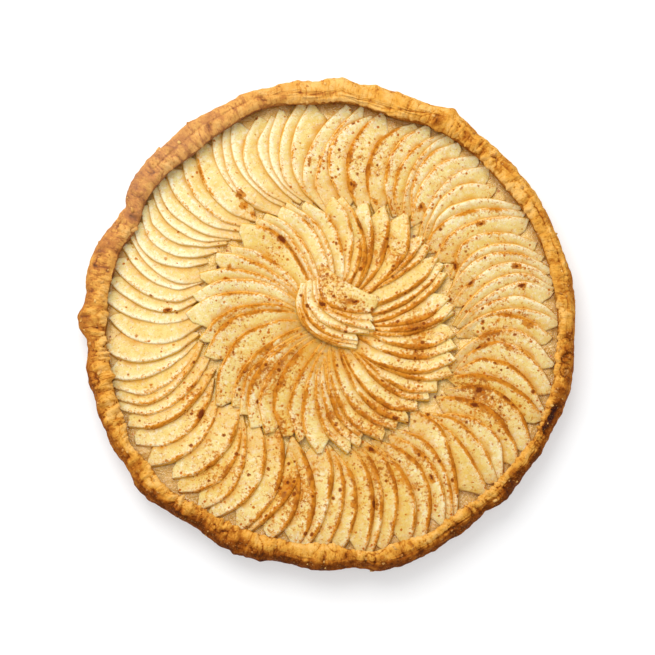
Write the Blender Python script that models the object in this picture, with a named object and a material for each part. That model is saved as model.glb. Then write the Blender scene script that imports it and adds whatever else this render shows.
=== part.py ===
"""An apple tart: a puff pastry shell with a folded rim, a bed of apple compote,
two rings of fanned apple slices and a small fan of slices in the middle.

Lengths are in metres and angles in degrees, counter-clockwise from +X, seen
from above. +Z is up. The origin is on the flat underside, in the middle.

A fan is a run of half-moon slices that lean on each other like shingles, so its
top is a row of ridges. It is one solid, and its neighbours keep a small gap.
"""

import math

import bmesh
import bpy

MM = 0.001

# Driving dimensions of the shell
TART_RADIUS = 139.6 * MM
RIM_HEIGHT = 24.0 * MM
LIP_RADIUS = 127.9 * MM
LIP_SHIFT = 2.6 * MM
LIP_SHIFT_ANGLE = -28.0
SEAM_PLACE = 0.36
BASE_THICKNESS = 3.5 * MM
COLUMNS = 120

# The filling, and the gap that touching pieces keep
COMPOTE_LEVEL = 12.0 * MM
GAP = 0.3 * MM

# The slices: the step down at a slice's peeled edge, and the height of its foot
STEP_HEIGHT = 3.6 * MM
FOOT_HEIGHT = 1.0 * MM
FULL_STEP_WIDTH = 8.0 * MM
FAN_GAP = 0.6 * MM

# Places along a slice from its inner tip, 0, to its outer tip, 1. At a tip, the
# slice below shows this much further back.
STATIONS = (0.0, 0.14, 0.38, 0.64, 0.87, 1.0)
NOTCH = 0.06

# Where the hand-folded rim leaves the circle.
# Each row is an angle, a half width in degrees and a distance outwards.
OUTLINE_BULGES = (
    (4, 9, 0.8 * MM),
    (14, 12, 1.5 * MM),
    (34, 10, 0.6 * MM),
    (61.5, 6, 3.4 * MM),
    (73, 10, -0.6 * MM),
    (89.5, 5, 3.0 * MM),
    (100, 7, 2.0 * MM),
    (111, 6, 1.8 * MM),
    (126, 6, 1.0 * MM),
    (140, 14, -0.6 * MM),
    (153.5, 9, -6.6 * MM),
    (161, 5, -1.8 * MM),
    (176, 4, -3.0 * MM),
    (181, 4.5, 3.4 * MM),
    (187, 6, -4.4 * MM),
    (199, 5, -1.6 * MM),
    (224, 6, 2.6 * MM),
    (239, 10, -2.8 * MM),
    (262, 10, -3.0 * MM),
    (277, 4, -1.8 * MM),
    (286, 8, 4.4 * MM),
    (294, 9, 2.2 * MM),
    (312, 5, -1.4 * MM),
    (317, 6, 1.6 * MM),
    (331, 10, 1.2 * MM),
    (347, 14, 2.2 * MM),
)

# Where the lip stands out from or into its own circle.
LIP_BULGES = (
    (41, 12, -1.2 * MM),
    (74, 10, -2.6 * MM),
    (89, 6, 1.8 * MM),
    (108, 14, 3.6 * MM),
    (130, 7, -2.0 * MM),
    (155, 8, -4.6 * MM),
    (167, 3, -1.6 * MM),
    (180, 4, -1.4 * MM),
    (193, 4, -1.4 * MM),
    (214, 6, 4.8 * MM),
    (226, 9, 2.8 * MM),
    (238, 5, -1.4 * MM),
    (250, 16, -2.6 * MM),
    (262, 12, -2.8 * MM),
    (272, 8, -4.6 * MM),
    (284, 5, 2.8 * MM),
    (297, 6, 2.4 * MM),
    (308, 8, -0.8 * MM),
    (333, 12, 2.6 * MM),
    (346, 8, 1.6 * MM),
)

# Where the top of the rim rises or sinks.
HEIGHT_BULGES = (
    (40, 18, 0.6 * MM),
    (88.5, 5, 1.0 * MM),
    (125, 20, 0.8 * MM),
    (153, 9, -2.6 * MM),
    (185.5, 5, -1.6 * MM),
    (239, 10, -1.0 * MM),
    (284, 10, 0.8 * MM),
    (335, 12, -1.2 * MM),
)

# The side of the tart that the middle fan lies on
CENTRE_FAN_SIDE = 49.0

# The outer ring leans counter-clockwise: each slice's peeled edge faces that way.
OUTER_RING = {
    "direction": 1,
    "inner_radius": 74.5 * MM,
    "outer_radius": LIP_RADIUS - 1.2 * MM,
    "rim_clearance": 1.2 * MM,
    "inner_lag": 6.0,
    "outer_lag": 6.5,
    "first_edge": -8.6,
}

# Visible widths of the slices in each outer fan, in degrees, counter-clockwise.
OUTER_FANS = (
    (5.9, 3.9, 5.1, 1.6, 3.4, 3.8),
    (3.1, 3.8, 4.2, 2.6, 5.4, 4.5),
    (4.8, 2.8, 3.7, 2.8, 5.4),
    (4.1, 1.6, 3.9, 4.0, 6.2),
    (7.5, 5.6, 5.1, 5.3, 2.7, 3.9, 2.6),
    (2.7, 5.6, 2.0, 3.8, 1.8),
    (6.6, 4.6, 4.2, 4.0, 3.2, 3.8),
    (4.0, 4.0, 4.3, 3.0, 4.7, 3.9, 4.1),
    (6.9, 5.3, 4.7, 5.2),
    (2.8, 3.7, 4.0, 6.4, 5.1),
    (8.0, 5.3, 4.2),
    (6.3, 6.7, 5.4, 1.9, 5.4),
    (5.6, 4.3, 4.0, 5.7, 3.1, 4.8),
    (3.4, 6.4, 3.5, 3.7),
    (7.0, 1.6, 4.6, 4.0),
    (4.6, 6.4, 3.6, 6.8),
)

# The inner ring leans the other way, and its outer ends trail further back. Its
# inner ends lie on a circle that is off the middle, under the middle fan.
INNER_RING = {
    "direction": -1,
    "inner_radius": 17.0 * MM,
    "outer_radius": 72.6 * MM,
    "inner_shift": 6.0 * MM,
    "inner_lag": 3.0,
    "outer_lag": 15.0,
    "first_edge": 355.5,
}

# Visible widths of the slices in each inner fan, in degrees, clockwise.
INNER_FANS = (
    (8.0, 8.5, 8.0, 4.0, 5.5, 5.5),
    (11.0, 5.7, 10.3, 7.6),
    (4.4, 6.5, 5.3, 7.7, 12.0),
    (12.5, 8.0, 9.5),
    (4.3, 6.5, 16.2),
    (16.0, 5.2, 7.3, 9.7),
    (6.0, 5.5, 6.8, 12.5),
    (6.0, 5.5, 11.0, 5.0, 10.0),
    (4.5, 9.9, 5.1, 3.9, 5.8, 8.3),
    (3.0, 2.8, 12.7, 7.0, 8.0, 7.0, 8.5),
)

# The middle fan lies over the inner ring. Its slices run from the upper left to
# the lower right and bulge towards the lower left, each out from under the last.
CENTRE_FAN = {
    "chord_angle": -41.0,
    "chord_length": 45.0 * MM,
    "middle_x": 3.7 * MM,
    "middle_y": 11.3 * MM,
    "back": -15.0 * MM,
    "top_slice": -13.5 * MM,
    "spacing": 3.2 * MM,
    "slices": 7,
    "bulge": 14.2 * MM,
}


def material(name, colour, roughness):
    """Return a plain material with the given colour."""
    made = bpy.data.materials.new(name)
    made.use_nodes = True
    shader = made.node_tree.nodes["Principled BSDF"]
    shader.inputs["Base Color"].default_value = (*colour, 1.0)
    shader.inputs["Roughness"].default_value = roughness
    shader.inputs["Metallic"].default_value = 0.0
    return made


def add_object(name, bm, made_of):
    """Turn a closed bmesh into an object with its faces pointing out."""
    bmesh.ops.recalc_face_normals(bm, faces=bm.faces)
    mesh = bpy.data.meshes.new(name)
    bm.to_mesh(mesh)
    bm.free()
    mesh.shade_smooth()
    mesh.set_sharp_from_angle(angle=math.radians(35))
    mesh.materials.append(made_of)
    made = bpy.data.objects.new(name, mesh)
    bpy.context.collection.objects.link(made)
    return made


def skin(bm, rings):
    """Join successive closed rings of vertices with quads."""
    for lower, upper in zip(rings, rings[1:]):
        count = len(lower)
        for i in range(count):
            j = (i + 1) % count
            bm.faces.new((lower[i], lower[j], upper[j], upper[i]))


def bulges(rows, angle):
    """Add up the smooth bulges of a table at an angle."""
    total = 0.0
    for centre, half_width, height in rows:
        away = abs((angle - centre + 180.0) % 360.0 - 180.0)
        if away < half_width:
            total += height * 0.5 * (1.0 + math.cos(math.pi * away / half_width))
    return total


def outline_radius(angle):
    """Radius of the tart's outline."""
    return TART_RADIUS + bulges(OUTLINE_BULGES, angle)


def lip_radius(angle):
    """Radius of the rim's inner lip, whose circle is a little off the middle."""
    shift = LIP_SHIFT * math.cos(math.radians(angle - LIP_SHIFT_ANGLE))
    return LIP_RADIUS + shift + bulges(LIP_BULGES, angle)


def rim_top(angle):
    """Height of the rim's crown, with a slow wave from the folding."""
    wave = math.sin(math.radians(5.0 * angle + 60.0)) + 0.6 * math.sin(math.radians(11.0 * angle))
    return RIM_HEIGHT + 0.4 * MM * wave + bulges(HEIGHT_BULGES, angle)


def inner_wall(angle):
    """The shell's inside below the lip, from the floor up, as radius and height."""
    lip = lip_radius(angle)
    return (
        (lip - 3.0 * MM, BASE_THICKNESS),
        (lip + 0.9 * MM, BASE_THICKNESS + 2.5 * MM),
        (lip + 1.5 * MM, COMPOTE_LEVEL),
        (lip + 1.5 * MM, rim_top(angle) - 6.5 * MM),
    )


def shell_profile(angle):
    """The shell's section at an angle, from the underside round to the floor."""
    out = outline_radius(angle)
    lip = lip_radius(angle)
    top = rim_top(angle)
    seam = out - SEAM_PLACE * (out - lip)
    outside = (
        (out - 8.0 * MM, 0.0),
        (out - 3.6 * MM, 1.8 * MM),
        (out - 0.9 * MM, 7.0 * MM),
        (out, 13.0 * MM),
        (out - 0.7 * MM, 18.0 * MM),
        (out - 2.4 * MM, top - 1.4 * MM),
    )
    crown = (
        (seam, top - 1.9 * MM),
        (seam - 1.4 * MM, top - 0.3 * MM),
        (lip + 2.2 * MM, top),
        (lip, top - 3.2 * MM),
    )
    return outside + crown + tuple(reversed(inner_wall(angle)))


def turned(bm, profile_at):
    """Skin a profile that changes with the angle, and close its first and last rings."""
    angles = [360.0 * i / COLUMNS for i in range(COLUMNS)]
    sections = [profile_at(angle) for angle in angles]
    rings = []
    for level in range(len(sections[0])):
        ring = []
        for angle, section in zip(angles, sections):
            radius, height = section[level]
            turn = math.radians(angle)
            ring.append(bm.verts.new((radius * math.cos(turn), radius * math.sin(turn), height)))
        rings.append(ring)
    skin(bm, rings)
    bm.faces.new(rings[0])
    bm.faces.new(rings[-1])


def pastry_shell(made_of):
    """The baked shell: a flat base and a folded rim with a seam and a lip."""
    bm = bmesh.new()
    turned(bm, shell_profile)
    return add_object("pastry_shell", bm, made_of)


def compote_profile(angle):
    """The filling's side, a gap inside the shell's wall."""
    foot, knee, shore = inner_wall(angle)[:3]
    return (
        (foot[0] - 2.0 * GAP, foot[1] + GAP),
        (knee[0] - 2.0 * GAP, knee[1] + GAP),
        (shore[0] - 2.0 * GAP, shore[1]),
    )


def compote(made_of):
    """The bed of compote that the slices lie on."""
    bm = bmesh.new()
    turned(bm, compote_profile)
    return add_object("compote", bm, made_of)


def ring_place(ring):
    """Return the rule that lays a ring's slice edges on the compote."""
    direction = ring["direction"]

    def place(edge, t, gap=0.0):
        """Point at t along the peeled edge that faces the angle edge, a gap past it."""
        half = 2.0 * t - 1.0
        lag = (ring["inner_lag"] if t < 0.5 else ring["outer_lag"]) * half * half
        angle = edge - direction * lag
        shift = math.cos(math.radians(angle - CENTRE_FAN_SIDE))
        inner = ring["inner_radius"] + ring.get("inner_shift", 0.0) * shift
        outer = ring["outer_radius"]
        if "rim_clearance" in ring:
            outer = lip_radius(angle) - ring["rim_clearance"]
        radius = inner + (outer - inner) * t
        turn = math.radians(angle) + direction * gap / radius
        return radius * math.cos(turn), radius * math.sin(turn)

    return place


def centre_place(edge, t, gap=0.0):
    """Point at t along the peeled edge of the middle fan whose tips are at edge."""
    half = 2.0 * t - 1.0
    along = half * 0.5 * CENTRE_FAN["chord_length"]
    bulge = 0.0 if edge == CENTRE_FAN["back"] else CENTRE_FAN["bulge"]
    across = edge + gap + bulge * (1.0 - half * half)
    turn = math.radians(CENTRE_FAN["chord_angle"])
    x = CENTRE_FAN["middle_x"] + along * math.cos(turn) + across * math.sin(turn)
    y = CENTRE_FAN["middle_y"] + along * math.sin(turn) - across * math.cos(turn)
    return x, y


def section(bm, place, edges, steps, t, floor):
    """One closed cross-section of a fan: its ridges, and its flat underside."""
    rise = 0.45 + 0.55 * math.sin(math.pi * t)
    foot_t = min(max(t, NOTCH), 1.0 - NOTCH)
    foot = floor + FOOT_HEIGHT * rise
    back = place(edges[0], foot_t, FAN_GAP)
    top = [bm.verts.new((*back, foot))]
    under = [bm.verts.new((*back, floor))]
    for edge, step in zip(edges[1:], steps):
        ridge = place(edge, t)
        under.append(bm.verts.new((*ridge, floor)))
        top.append(bm.verts.new((*ridge, foot + step * rise)))
        if edge != edges[-1]:
            top.append(bm.verts.new((*place(edge, foot_t), foot)))
    return top, under


def close_end(bm, top, under):
    """Close one end of a fan with a strip between its ridges and its underside."""
    for i in range(1, len(under)):
        foot_before = top[2 * i - 2]
        ridge = top[2 * i - 1]
        bm.faces.new((under[i - 1], under[i], ridge, foot_before))
        if i < len(under) - 1:
            bm.faces.new((under[i], top[2 * i], ridge))


def fan(name, place, edges, steps, floor, made_of):
    """One run of slices. edges[0] is its back, and each other edge a ridge with its step."""
    bm = bmesh.new()
    sections = [section(bm, place, edges, steps, t, floor) for t in STATIONS]
    skin(bm, [top + under[::-1] for top, under in sections])
    close_end(bm, *sections[0])
    close_end(bm, *sections[-1])
    return add_object(name, bm, made_of)


def ring_of_fans(prefix, ring, fans, made_of):
    """All the fans of a ring, one after another round the tart."""
    middle_radius = 0.5 * (ring["inner_radius"] + ring["outer_radius"])
    edge = ring["first_edge"]
    for number, widths in enumerate(fans, start=1):
        edges = [edge]
        steps = []
        for width in widths:
            edge += ring["direction"] * width
            edges.append(edge)
            fullness = math.radians(width) * middle_radius / FULL_STEP_WIDTH
            steps.append(STEP_HEIGHT * min(1.0, math.sqrt(fullness)))
        fan(f"{prefix}_{number:02d}", ring_place(ring), edges, steps, COMPOTE_LEVEL + GAP, made_of)


def centre_fan(made_of):
    """The small fan in the middle, resting on the tips of the inner ring."""
    count = CENTRE_FAN["slices"]
    edges = [CENTRE_FAN["back"]]
    edges += [CENTRE_FAN["top_slice"] + i * CENTRE_FAN["spacing"] for i in range(count)]
    floor = COMPOTE_LEVEL + 2.0 * GAP + FOOT_HEIGHT + STEP_HEIGHT
    fan("centre_fan", centre_place, edges, [0.7 * STEP_HEIGHT] * count, floor, made_of)


def main():
    """Build the tart in an empty scene."""
    for old in list(bpy.data.objects):
        bpy.data.objects.remove(old, do_unlink=True)
    pastry = material("baked puff pastry", (0.66, 0.33, 0.10), 0.55)
    fruit = material("baked apple", (0.86, 0.68, 0.34), 0.42)
    sauce = material("apple compote", (0.62, 0.44, 0.27), 0.25)
    pastry_shell(pastry)
    compote(sauce)
    ring_of_fans("outer_fan", OUTER_RING, OUTER_FANS, fruit)
    ring_of_fans("inner_fan", INNER_RING, INNER_FANS, fruit)
    centre_fan(fruit)


main()
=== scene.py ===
"""The looks of an apple tart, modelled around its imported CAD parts.

The tart stands on z = 0: a puff pastry crust, a bed of compote, two rings and a
middle fan of apple slices, and the cinnamon and flakes that lie on them.

Lengths are in metres and angles in degrees, counter-clockwise from +X, seen from
above. A slice's edge means the curved edge that was peeled. Each slice lies over
the next one of its ring and leaves that one's edge in view.
"""

import math
import random

import bmesh
import bpy
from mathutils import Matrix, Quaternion, Vector, noise
from mathutils.bvhtree import BVHTree


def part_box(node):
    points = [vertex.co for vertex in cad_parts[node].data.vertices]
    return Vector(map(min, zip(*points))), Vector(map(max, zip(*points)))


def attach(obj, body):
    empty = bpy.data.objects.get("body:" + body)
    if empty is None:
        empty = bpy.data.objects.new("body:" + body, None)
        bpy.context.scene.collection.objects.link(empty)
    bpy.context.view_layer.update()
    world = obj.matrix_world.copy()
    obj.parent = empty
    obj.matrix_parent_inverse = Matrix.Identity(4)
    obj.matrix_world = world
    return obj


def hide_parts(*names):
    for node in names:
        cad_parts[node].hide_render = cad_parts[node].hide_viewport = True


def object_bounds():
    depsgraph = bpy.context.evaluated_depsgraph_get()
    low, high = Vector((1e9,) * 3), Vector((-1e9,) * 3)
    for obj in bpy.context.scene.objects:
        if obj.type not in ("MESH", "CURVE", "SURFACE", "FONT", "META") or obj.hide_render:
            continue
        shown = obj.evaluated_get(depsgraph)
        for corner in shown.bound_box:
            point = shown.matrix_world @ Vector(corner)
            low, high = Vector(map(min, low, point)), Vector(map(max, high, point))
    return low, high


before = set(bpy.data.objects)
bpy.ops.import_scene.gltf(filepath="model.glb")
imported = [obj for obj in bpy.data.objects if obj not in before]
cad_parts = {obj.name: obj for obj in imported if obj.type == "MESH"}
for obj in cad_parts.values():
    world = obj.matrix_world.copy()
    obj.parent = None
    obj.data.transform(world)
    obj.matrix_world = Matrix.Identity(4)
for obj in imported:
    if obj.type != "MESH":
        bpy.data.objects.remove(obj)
cad_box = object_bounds()

MM = 0.001
SEED = 7

# The studio
CAMERA_ELEVATION = 82.0
CAMERA_AZIMUTH = -88.0
CAMERA_DISTANCE = 3.0
CAMERA_AIM = Vector((0.0, -1.6 * MM, 15.0 * MM))
FIELD_WIDTH = 371.4 * MM
SENSOR_WIDTH = 36.0
WINDOW_ELEVATION = 52.0
WINDOW_AZIMUTH = 118.0
WINDOW_DISTANCE = 1.3
WINDOW_SIZE = 1.2
WINDOW_POWER = 17.0
SKY_STRENGTH = 0.86
FLOOR_COLOUR = (0.52, 0.52, 0.52, 1.0)
FLOOR_GLOW = 0.40
FLOOR_SIZE = 2.0

# The tart's own sizes
SHELL_COLUMNS = 120
COMPOTE_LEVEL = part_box("compote")[1].z
FRUIT_CENTRE = Vector((-0.3 * MM, -1.0 * MM, 0.0))
WELD = 0.02 * MM

# The crust's mesh: columns round the tart, and rows in each stretch of its section.
CRUST_COLUMNS = 1400
UNDERSIDE_ROWS = 3
WALL_ROWS = 16
CROWN_ROWS = 40
INSIDE_ROWS = 9
RIM_RADIUS = 135.0 * MM
SHOULDER_INSET = 2.4 * MM
LIP_DROP = 3.2 * MM
# The side where the crust's colour carries a painted sheen, and its half width
SHEEN_SIDE = 136.0
SHEEN_WIDTH = 34.0
# The side where the painted shadow under the lip is deepest, and its half width
LIP_SHADOW_SIDE = 82.0
LIP_SHADOW_WIDTH = 28.0
DARKEST_BAKED = 0.98
UNDERSIDE_BROWN = 0.45
CROWN_MARGIN = 0.4 * MM
CRUST_FLOOR = 3.5 * MM
HIDDEN_RADIUS = 60.0 * MM

# Where the stretches of the section start, counted along its points, and where it
# goes out of sight under the filling
WALL_AT = 2
CROWN_AT = 7
INSIDE_AT = 15
HIDDEN_AT = 17.5
SECTION_END = 21

COMPOTE_COLUMNS = 500
COMPOTE_ROWS = 90

# The crust round its rim. Each row is an angle; the place of the fold between the
# outer roll and the lip's roll, from the outer edge, 0, to the lip, 1; how deep the
# fold is, in mm; how brown the outer roll and the lip are; and, in mm, how far the
# puff pastry's layers stand out of the wall and of the rim, and how deep its skin
# is wrinkled.
RIM = (
    (0, 0.34, 0.6, 0.56, 0.38, 0.3, 0.3, 0.9),
    (8, 0.26, 1.0, 0.48, 0.28, 0.3, 0.4, 0.8),
    (18, 0.20, 1.2, 0.36, 0.24, 0.2, 0.6, 0.7),
    (36, 0.22, 1.3, 0.32, 0.20, 0.2, 0.6, 0.8),
    (48, 0.25, 1.1, 0.34, 0.24, 0.2, 0.6, 0.9),
    (60, 0.22, 1.4, 0.30, 0.38, 0.2, 0.6, 0.8),
    (65, 0.34, 1.8, 0.28, 0.44, 0.2, 0.9, 0.6),
    (71, 0.60, 1.8, 0.22, 0.28, 0.2, 1.3, 0.4),
    (77, 0.78, 1.2, 0.18, 0.22, 0.2, 1.3, 0.4),
    (84, 0.74, 1.2, 0.18, 0.22, 0.2, 1.3, 0.3),
    (92, 0.64, 1.3, 0.20, 0.22, 0.2, 1.3, 0.3),
    (101, 0.48, 1.3, 0.26, 0.28, 0.2, 1.1, 0.5),
    (108, 0.30, 1.3, 0.32, 0.38, 0.2, 0.6, 0.8),
    (122, 0.30, 1.4, 0.44, 0.36, 0.2, 0.4, 0.9),
    (134, 0.38, 1.3, 0.48, 0.40, 0.2, 0.4, 1.0),
    (146, 0.40, 0.6, 0.52, 0.46, 0.2, 0.2, 1.1),
    (156, 0.40, 0.4, 0.50, 0.42, 0.2, 0.2, 1.2),
    (168, 0.30, 0.3, 0.52, 0.36, 0.2, 0.2, 1.2),
    (182, 0.30, 0.3, 0.58, 0.34, 0.3, 0.2, 1.4),
    (192, 0.28, 0.5, 0.56, 0.32, 0.4, 0.3, 1.1),
    (205, 0.20, 0.6, 0.72, 0.36, 0.5, 0.4, 1.1),
    (220, 0.08, 0.8, 0.68, 0.24, 0.6, 0.5, 1.1),
    (232, 0.22, 0.6, 0.90, 0.36, 0.6, 0.4, 1.1),
    (246, 0.22, 0.6, 0.94, 0.42, 0.6, 0.5, 0.9),
    (256, 0.16, 0.4, 0.94, 0.38, 0.5, 0.3, 0.8),
    (270, 0.14, 0.4, 0.92, 0.38, 0.5, 0.3, 0.8),
    (281, 0.12, 0.6, 0.80, 0.36, 0.5, 0.4, 1.0),
    (287, 0.12, 1.2, 0.92, 0.34, 0.8, 0.7, 0.9),
    (300, 0.12, 1.2, 0.84, 0.26, 0.9, 0.7, 0.9),
    (315, 0.13, 1.2, 0.86, 0.28, 0.9, 0.7, 0.9),
    (330, 0.15, 1.1, 0.88, 0.30, 0.7, 0.7, 0.9),
    (338, 0.24, 0.6, 0.80, 0.38, 0.5, 0.4, 1.2),
    (350, 0.34, 0.3, 0.66, 0.42, 0.4, 0.4, 1.3),
)

# Folds pressed across the lip: an angle, a depth and a half width in degrees.
CRIMPS = (
    (9, 0.9 * MM, 0.7), (17, 0.7 * MM, 0.6), (25, 0.8 * MM, 0.6), (34, 0.9 * MM, 0.7),
    (50, 1.2 * MM, 0.8), (56, 0.8 * MM, 0.6), (108, 1.5 * MM, 0.6), (123, 1.9 * MM, 0.6),
    (131, 0.7 * MM, 0.6), (142, 1.4 * MM, 0.7), (148, 1.2 * MM, 0.7), (153, 1.6 * MM, 0.8),
    (163, 1.1 * MM, 0.7), (172, 0.9 * MM, 0.6), (178, 1.1 * MM, 0.6), (183, 1.4 * MM, 0.7),
    (188, 0.9 * MM, 0.6), (197, 0.7 * MM, 0.6), (208, 0.9 * MM, 0.6), (219, 1.0 * MM, 0.7),
    (229, 1.1 * MM, 0.6), (237, 0.8 * MM, 0.6), (250, 0.9 * MM, 0.6), (262, 0.8 * MM, 0.6),
    (277, 1.3 * MM, 0.8), (290, 0.7 * MM, 0.6), (304, 0.8 * MM, 0.6), (318, 0.8 * MM, 0.6),
    (333, 0.9 * MM, 0.6), (347, 0.7 * MM, 0.6),
)

# Bumps and dents of the outer edge: an angle, how far it stands out in mm and a half
# width in degrees.
BUMPS = (
    (347, 0.3, 1.2), (315.5, 0.6, 0.8), (312, -0.5, 0.8), (303.5, 0.4, 0.8), (286.5, -0.8, 2.6),
    (281, -0.9, 1.2), (278, -0.6, 0.9), (265.5, 0.5, 0.8), (256, 0.6, 0.9), (252, -0.6, 0.6),
    (250, 0.6, 0.8), (246, 0.4, 0.8), (216, -0.4, 0.9), (208, -0.6, 0.8), (203, 0.5, 1.2),
    (191.5, -0.4, 0.6), (185, -0.7, 1.2), (174, -0.5, 0.8), (153.5, 0.5, 1.0),
    (151.5, -1.0, 1.0), (148.5, 0.4, 1.0), (108, 0.5, 1.4), (103.5, 0.6, 0.8), (99, 0.5, 0.7),
    (92.5, 0.4, 0.8), (88.5, 1.4, 0.7), (84.5, -0.7, 2.0), (80.5, 0.6, 0.8), (75, 0.5, 0.8),
    (62, 0.8, 1.0), (53.5, -0.4, 0.9), (31, -0.3, 0.8), (11, -0.5, 0.7),
)

# Scorched places on the rim: an angle, a half width in degrees, the place between
# the outer edge and the lip, and a strength.
SCORCHES = (
    (341, 1.8, 0.14, 0.55), (338, 2.6, 0.18, 0.75), (336, 1.3, 0.45, 0.65),
    (345.5, 0.9, 0.45, 0.35), (354, 2.5, 0.30, 0.20), (359, 0.8, 0.25, 0.30),
    (323, 1.2, 0.50, 0.50), (320, 1.6, 0.00, 0.25), (303.5, 0.9, 0.10, 0.35),
    (309, 1.2, 0.45, 0.25), (292.4, 0.5, 0.65, 0.45), (285, 1.0, 0.35, 0.25),
    (252, 3.0, 0.35, 0.20), (246, 2.0, 0.55, 0.22), (232, 5.0, 0.00, 0.15),
    (216, 2.0, 0.15, 0.20), (153.5, 1.6, 0.45, 0.30), (146.5, 1.0, 0.15, 0.30),
    (136, 3.0, 0.12, 0.16), (129, 2.5, 0.15, 0.14), (51.5, 1.6, 0.35, 0.20),
    (64, 2.0, 0.75, 0.40),
)

# The slices of the outer ring, fan by fan, counter-clockwise. Each row gives three
# places on a slice's edge as an angle and a radius in mm, the widest point, the
# outer tip and the inner tip, and then how brown the edge has baked.
OUTER_FANS = (
    (
        (357.3, 98, 347.0, 130, 343, 78, 0.2), (1.2, 102, 353.5, 127, 345, 74, 0.1),
        (6.3, 102, 0.0, 124, 3, 83, 0.5), (7.5, 104, 3.5, 128, 0, 77, 0.1),
        (11.3, 108, 5.0, 128, 4, 78, 0.1), (15.1, 108, 11.5, 126, 4, 77, 0.1),
    ),
    (
        (18.2, 106, 12.5, 127, 5, 75, 0.1), (22.0, 107, 14.5, 128, 14, 76, 0.1),
        (26.2, 101, 17.5, 128, 15, 71, 0.2), (28.8, 102, 21.0, 126, 21, 77, 0.1),
        (34.2, 96, 25.0, 125, 26, 79, 0.2), (38.7, 96, 31.0, 127, 35, 75, 0.2),
    ),
    (
        (43.5, 96, 33.0, 127, 41, 73, 0.5), (46.3, 99, 35.0, 127, 41, 76, 0.0),
        (50.0, 105, 43.0, 122, 44, 76, 0.1), (52.8, 108, 47.8, 127, 47, 76, 0.1),
        (58.2, 108, 52.0, 127, 53.5, 79, 0.2),
    ),
    (
        (62.3, 106, 57.5, 126, 54, 81, 0.3), (63.8, 106, 60.0, 128, 58, 79, 0.2),
        (67.8, 101, 61.0, 128, 60, 78, 0.3), (71.8, 103, 66.5, 126, 63, 77, 0.3),
        (78.0, 103, 70.0, 124, 71, 75, 0.8),
    ),
    (
        (85.5, 96, 78.5, 124, 76, 71, 0.7), (91.1, 102, 81.5, 121, 84, 74, 0.3),
        (96.2, 88, 84.0, 125, 91, 68, 0.2), (101.5, 88, 88.0, 125, 94, 68, 0.1),
        (104.2, 94, 97.0, 125, 96, 72, 0.1), (108.1, 96, 99.5, 127, 101, 74, 0.1),
        (110.7, 98, 105.0, 124, 103, 76, 0.0),
    ),
    (
        (113.4, 107, 107.8, 122, 106, 76, 0.0), (119.0, 102, 111.0, 124, 110, 76, 0.1),
        (121.0, 102, 117.0, 126, 113, 76, 0.0), (125.2, 94, 119.5, 126, 116, 71, 0.1),
        (126.6, 102, 122.5, 126, 119, 76, 0.1),
    ),
    (
        (133.2, 98, 128.0, 125, 127, 76, 0.4), (137.8, 99, 132.5, 125, 131, 75, 0.2),
        (142.0, 99, 138.0, 125, 134, 75, 0.1), (146.0, 102, 141.5, 125, 136, 71, 0.0),
        (149.2, 99, 143.5, 126, 140, 76, 0.0), (153.0, 105, 147.5, 122, 144, 78, 0.0),
    ),
    (
        (157.0, 104, 150.0, 123, 149, 79, 0.0), (161.0, 104, 155.0, 122, 155, 81, 0.0),
        (165.3, 96, 157.0, 122, 162, 78, 0.0), (168.3, 96, 161.0, 122, 163, 78, 0.0),
        (173.0, 94, 166.0, 125, 167, 77, 0.1), (176.9, 96, 170.5, 124, 171, 77, 0.0),
        (181.0, 96, 175.0, 126, 176, 76, 0.0),
    ),
    (
        (187.9, 99, 180.3, 122, 181, 73, 0.0), (193.2, 105, 188.0, 125, 187, 77, 0.0),
        (197.9, 104, 195.0, 126, 190.3, 78, 0.0), (203.1, 104, 197.8, 126, 192.3, 77, 0.0),
    ),
    (
        (205.9, 104, 201.0, 126, 192, 74, 0.1), (209.6, 102, 204.0, 126, 199, 72, 0.1),
        (213.6, 103, 209.0, 125, 205, 72, 0.4), (220.0, 102, 214.0, 126, 209, 74, 0.2),
        (225.1, 99, 220.5, 127, 218, 78, 0.1),
    ),
    (
        (233.1, 99, 227.0, 121, 226, 69, 0.2), (238.4, 102, 231.0, 124, 229, 73, 0.2),
        (242.6, 102, 238.0, 124, 231, 73, 0.2),
    ),
    (
        (248.9, 96, 242.0, 124, 237.5, 69, 0.2), (255.6, 94, 249.5, 124, 247, 66, 0.4),
        (261.0, 93, 252.0, 122, 260, 79, 0.5), (262.9, 101, 258.0, 122, 257, 76, 0.6),
        (268.3, 99, 264.5, 124, 257, 69, 1.0),
    ),
    (
        (273.9, 91, 267.0, 124, 270, 66, 0.6), (278.2, 94, 272.0, 124, 274, 71, 0.3),
        (282.2, 96, 276.0, 125, 275, 72, 0.4), (287.9, 94, 281.0, 129, 282, 71, 0.5),
        (291.0, 95, 283.0, 130, 286, 71, 0.2), (295.8, 96, 287.0, 128, 289, 69, 0.4),
    ),
    (
        (299.2, 106, 293.0, 129, 295, 77, 0.3), (305.6, 99, 297.0, 130, 296, 73, 0.6),
        (309.1, 99, 303.0, 127, 303, 75, 0.2), (312.8, 94, 305.5, 127, 306, 72, 0.4),
    ),
    (
        (319.8, 89, 307.0, 127, 318.5, 71, 0.6), (321.3, 95, 316.0, 128, 318.5, 72, 0.2),
        (326.0, 96, 320.0, 127, 320, 75, 0.2), (330.0, 108, 322.0, 128, 320, 78, 0.1),
    ),
    (
        (334.6, 108, 327.0, 130, 330, 78, 1.0), (341.0, 106, 332.0, 132, 335, 80, 0.9),
        (344.6, 104, 339.5, 130, 340, 78, 0.9), (351.4, 99, 341.0, 130, 343, 79, 0.6),
    ),
)

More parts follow.
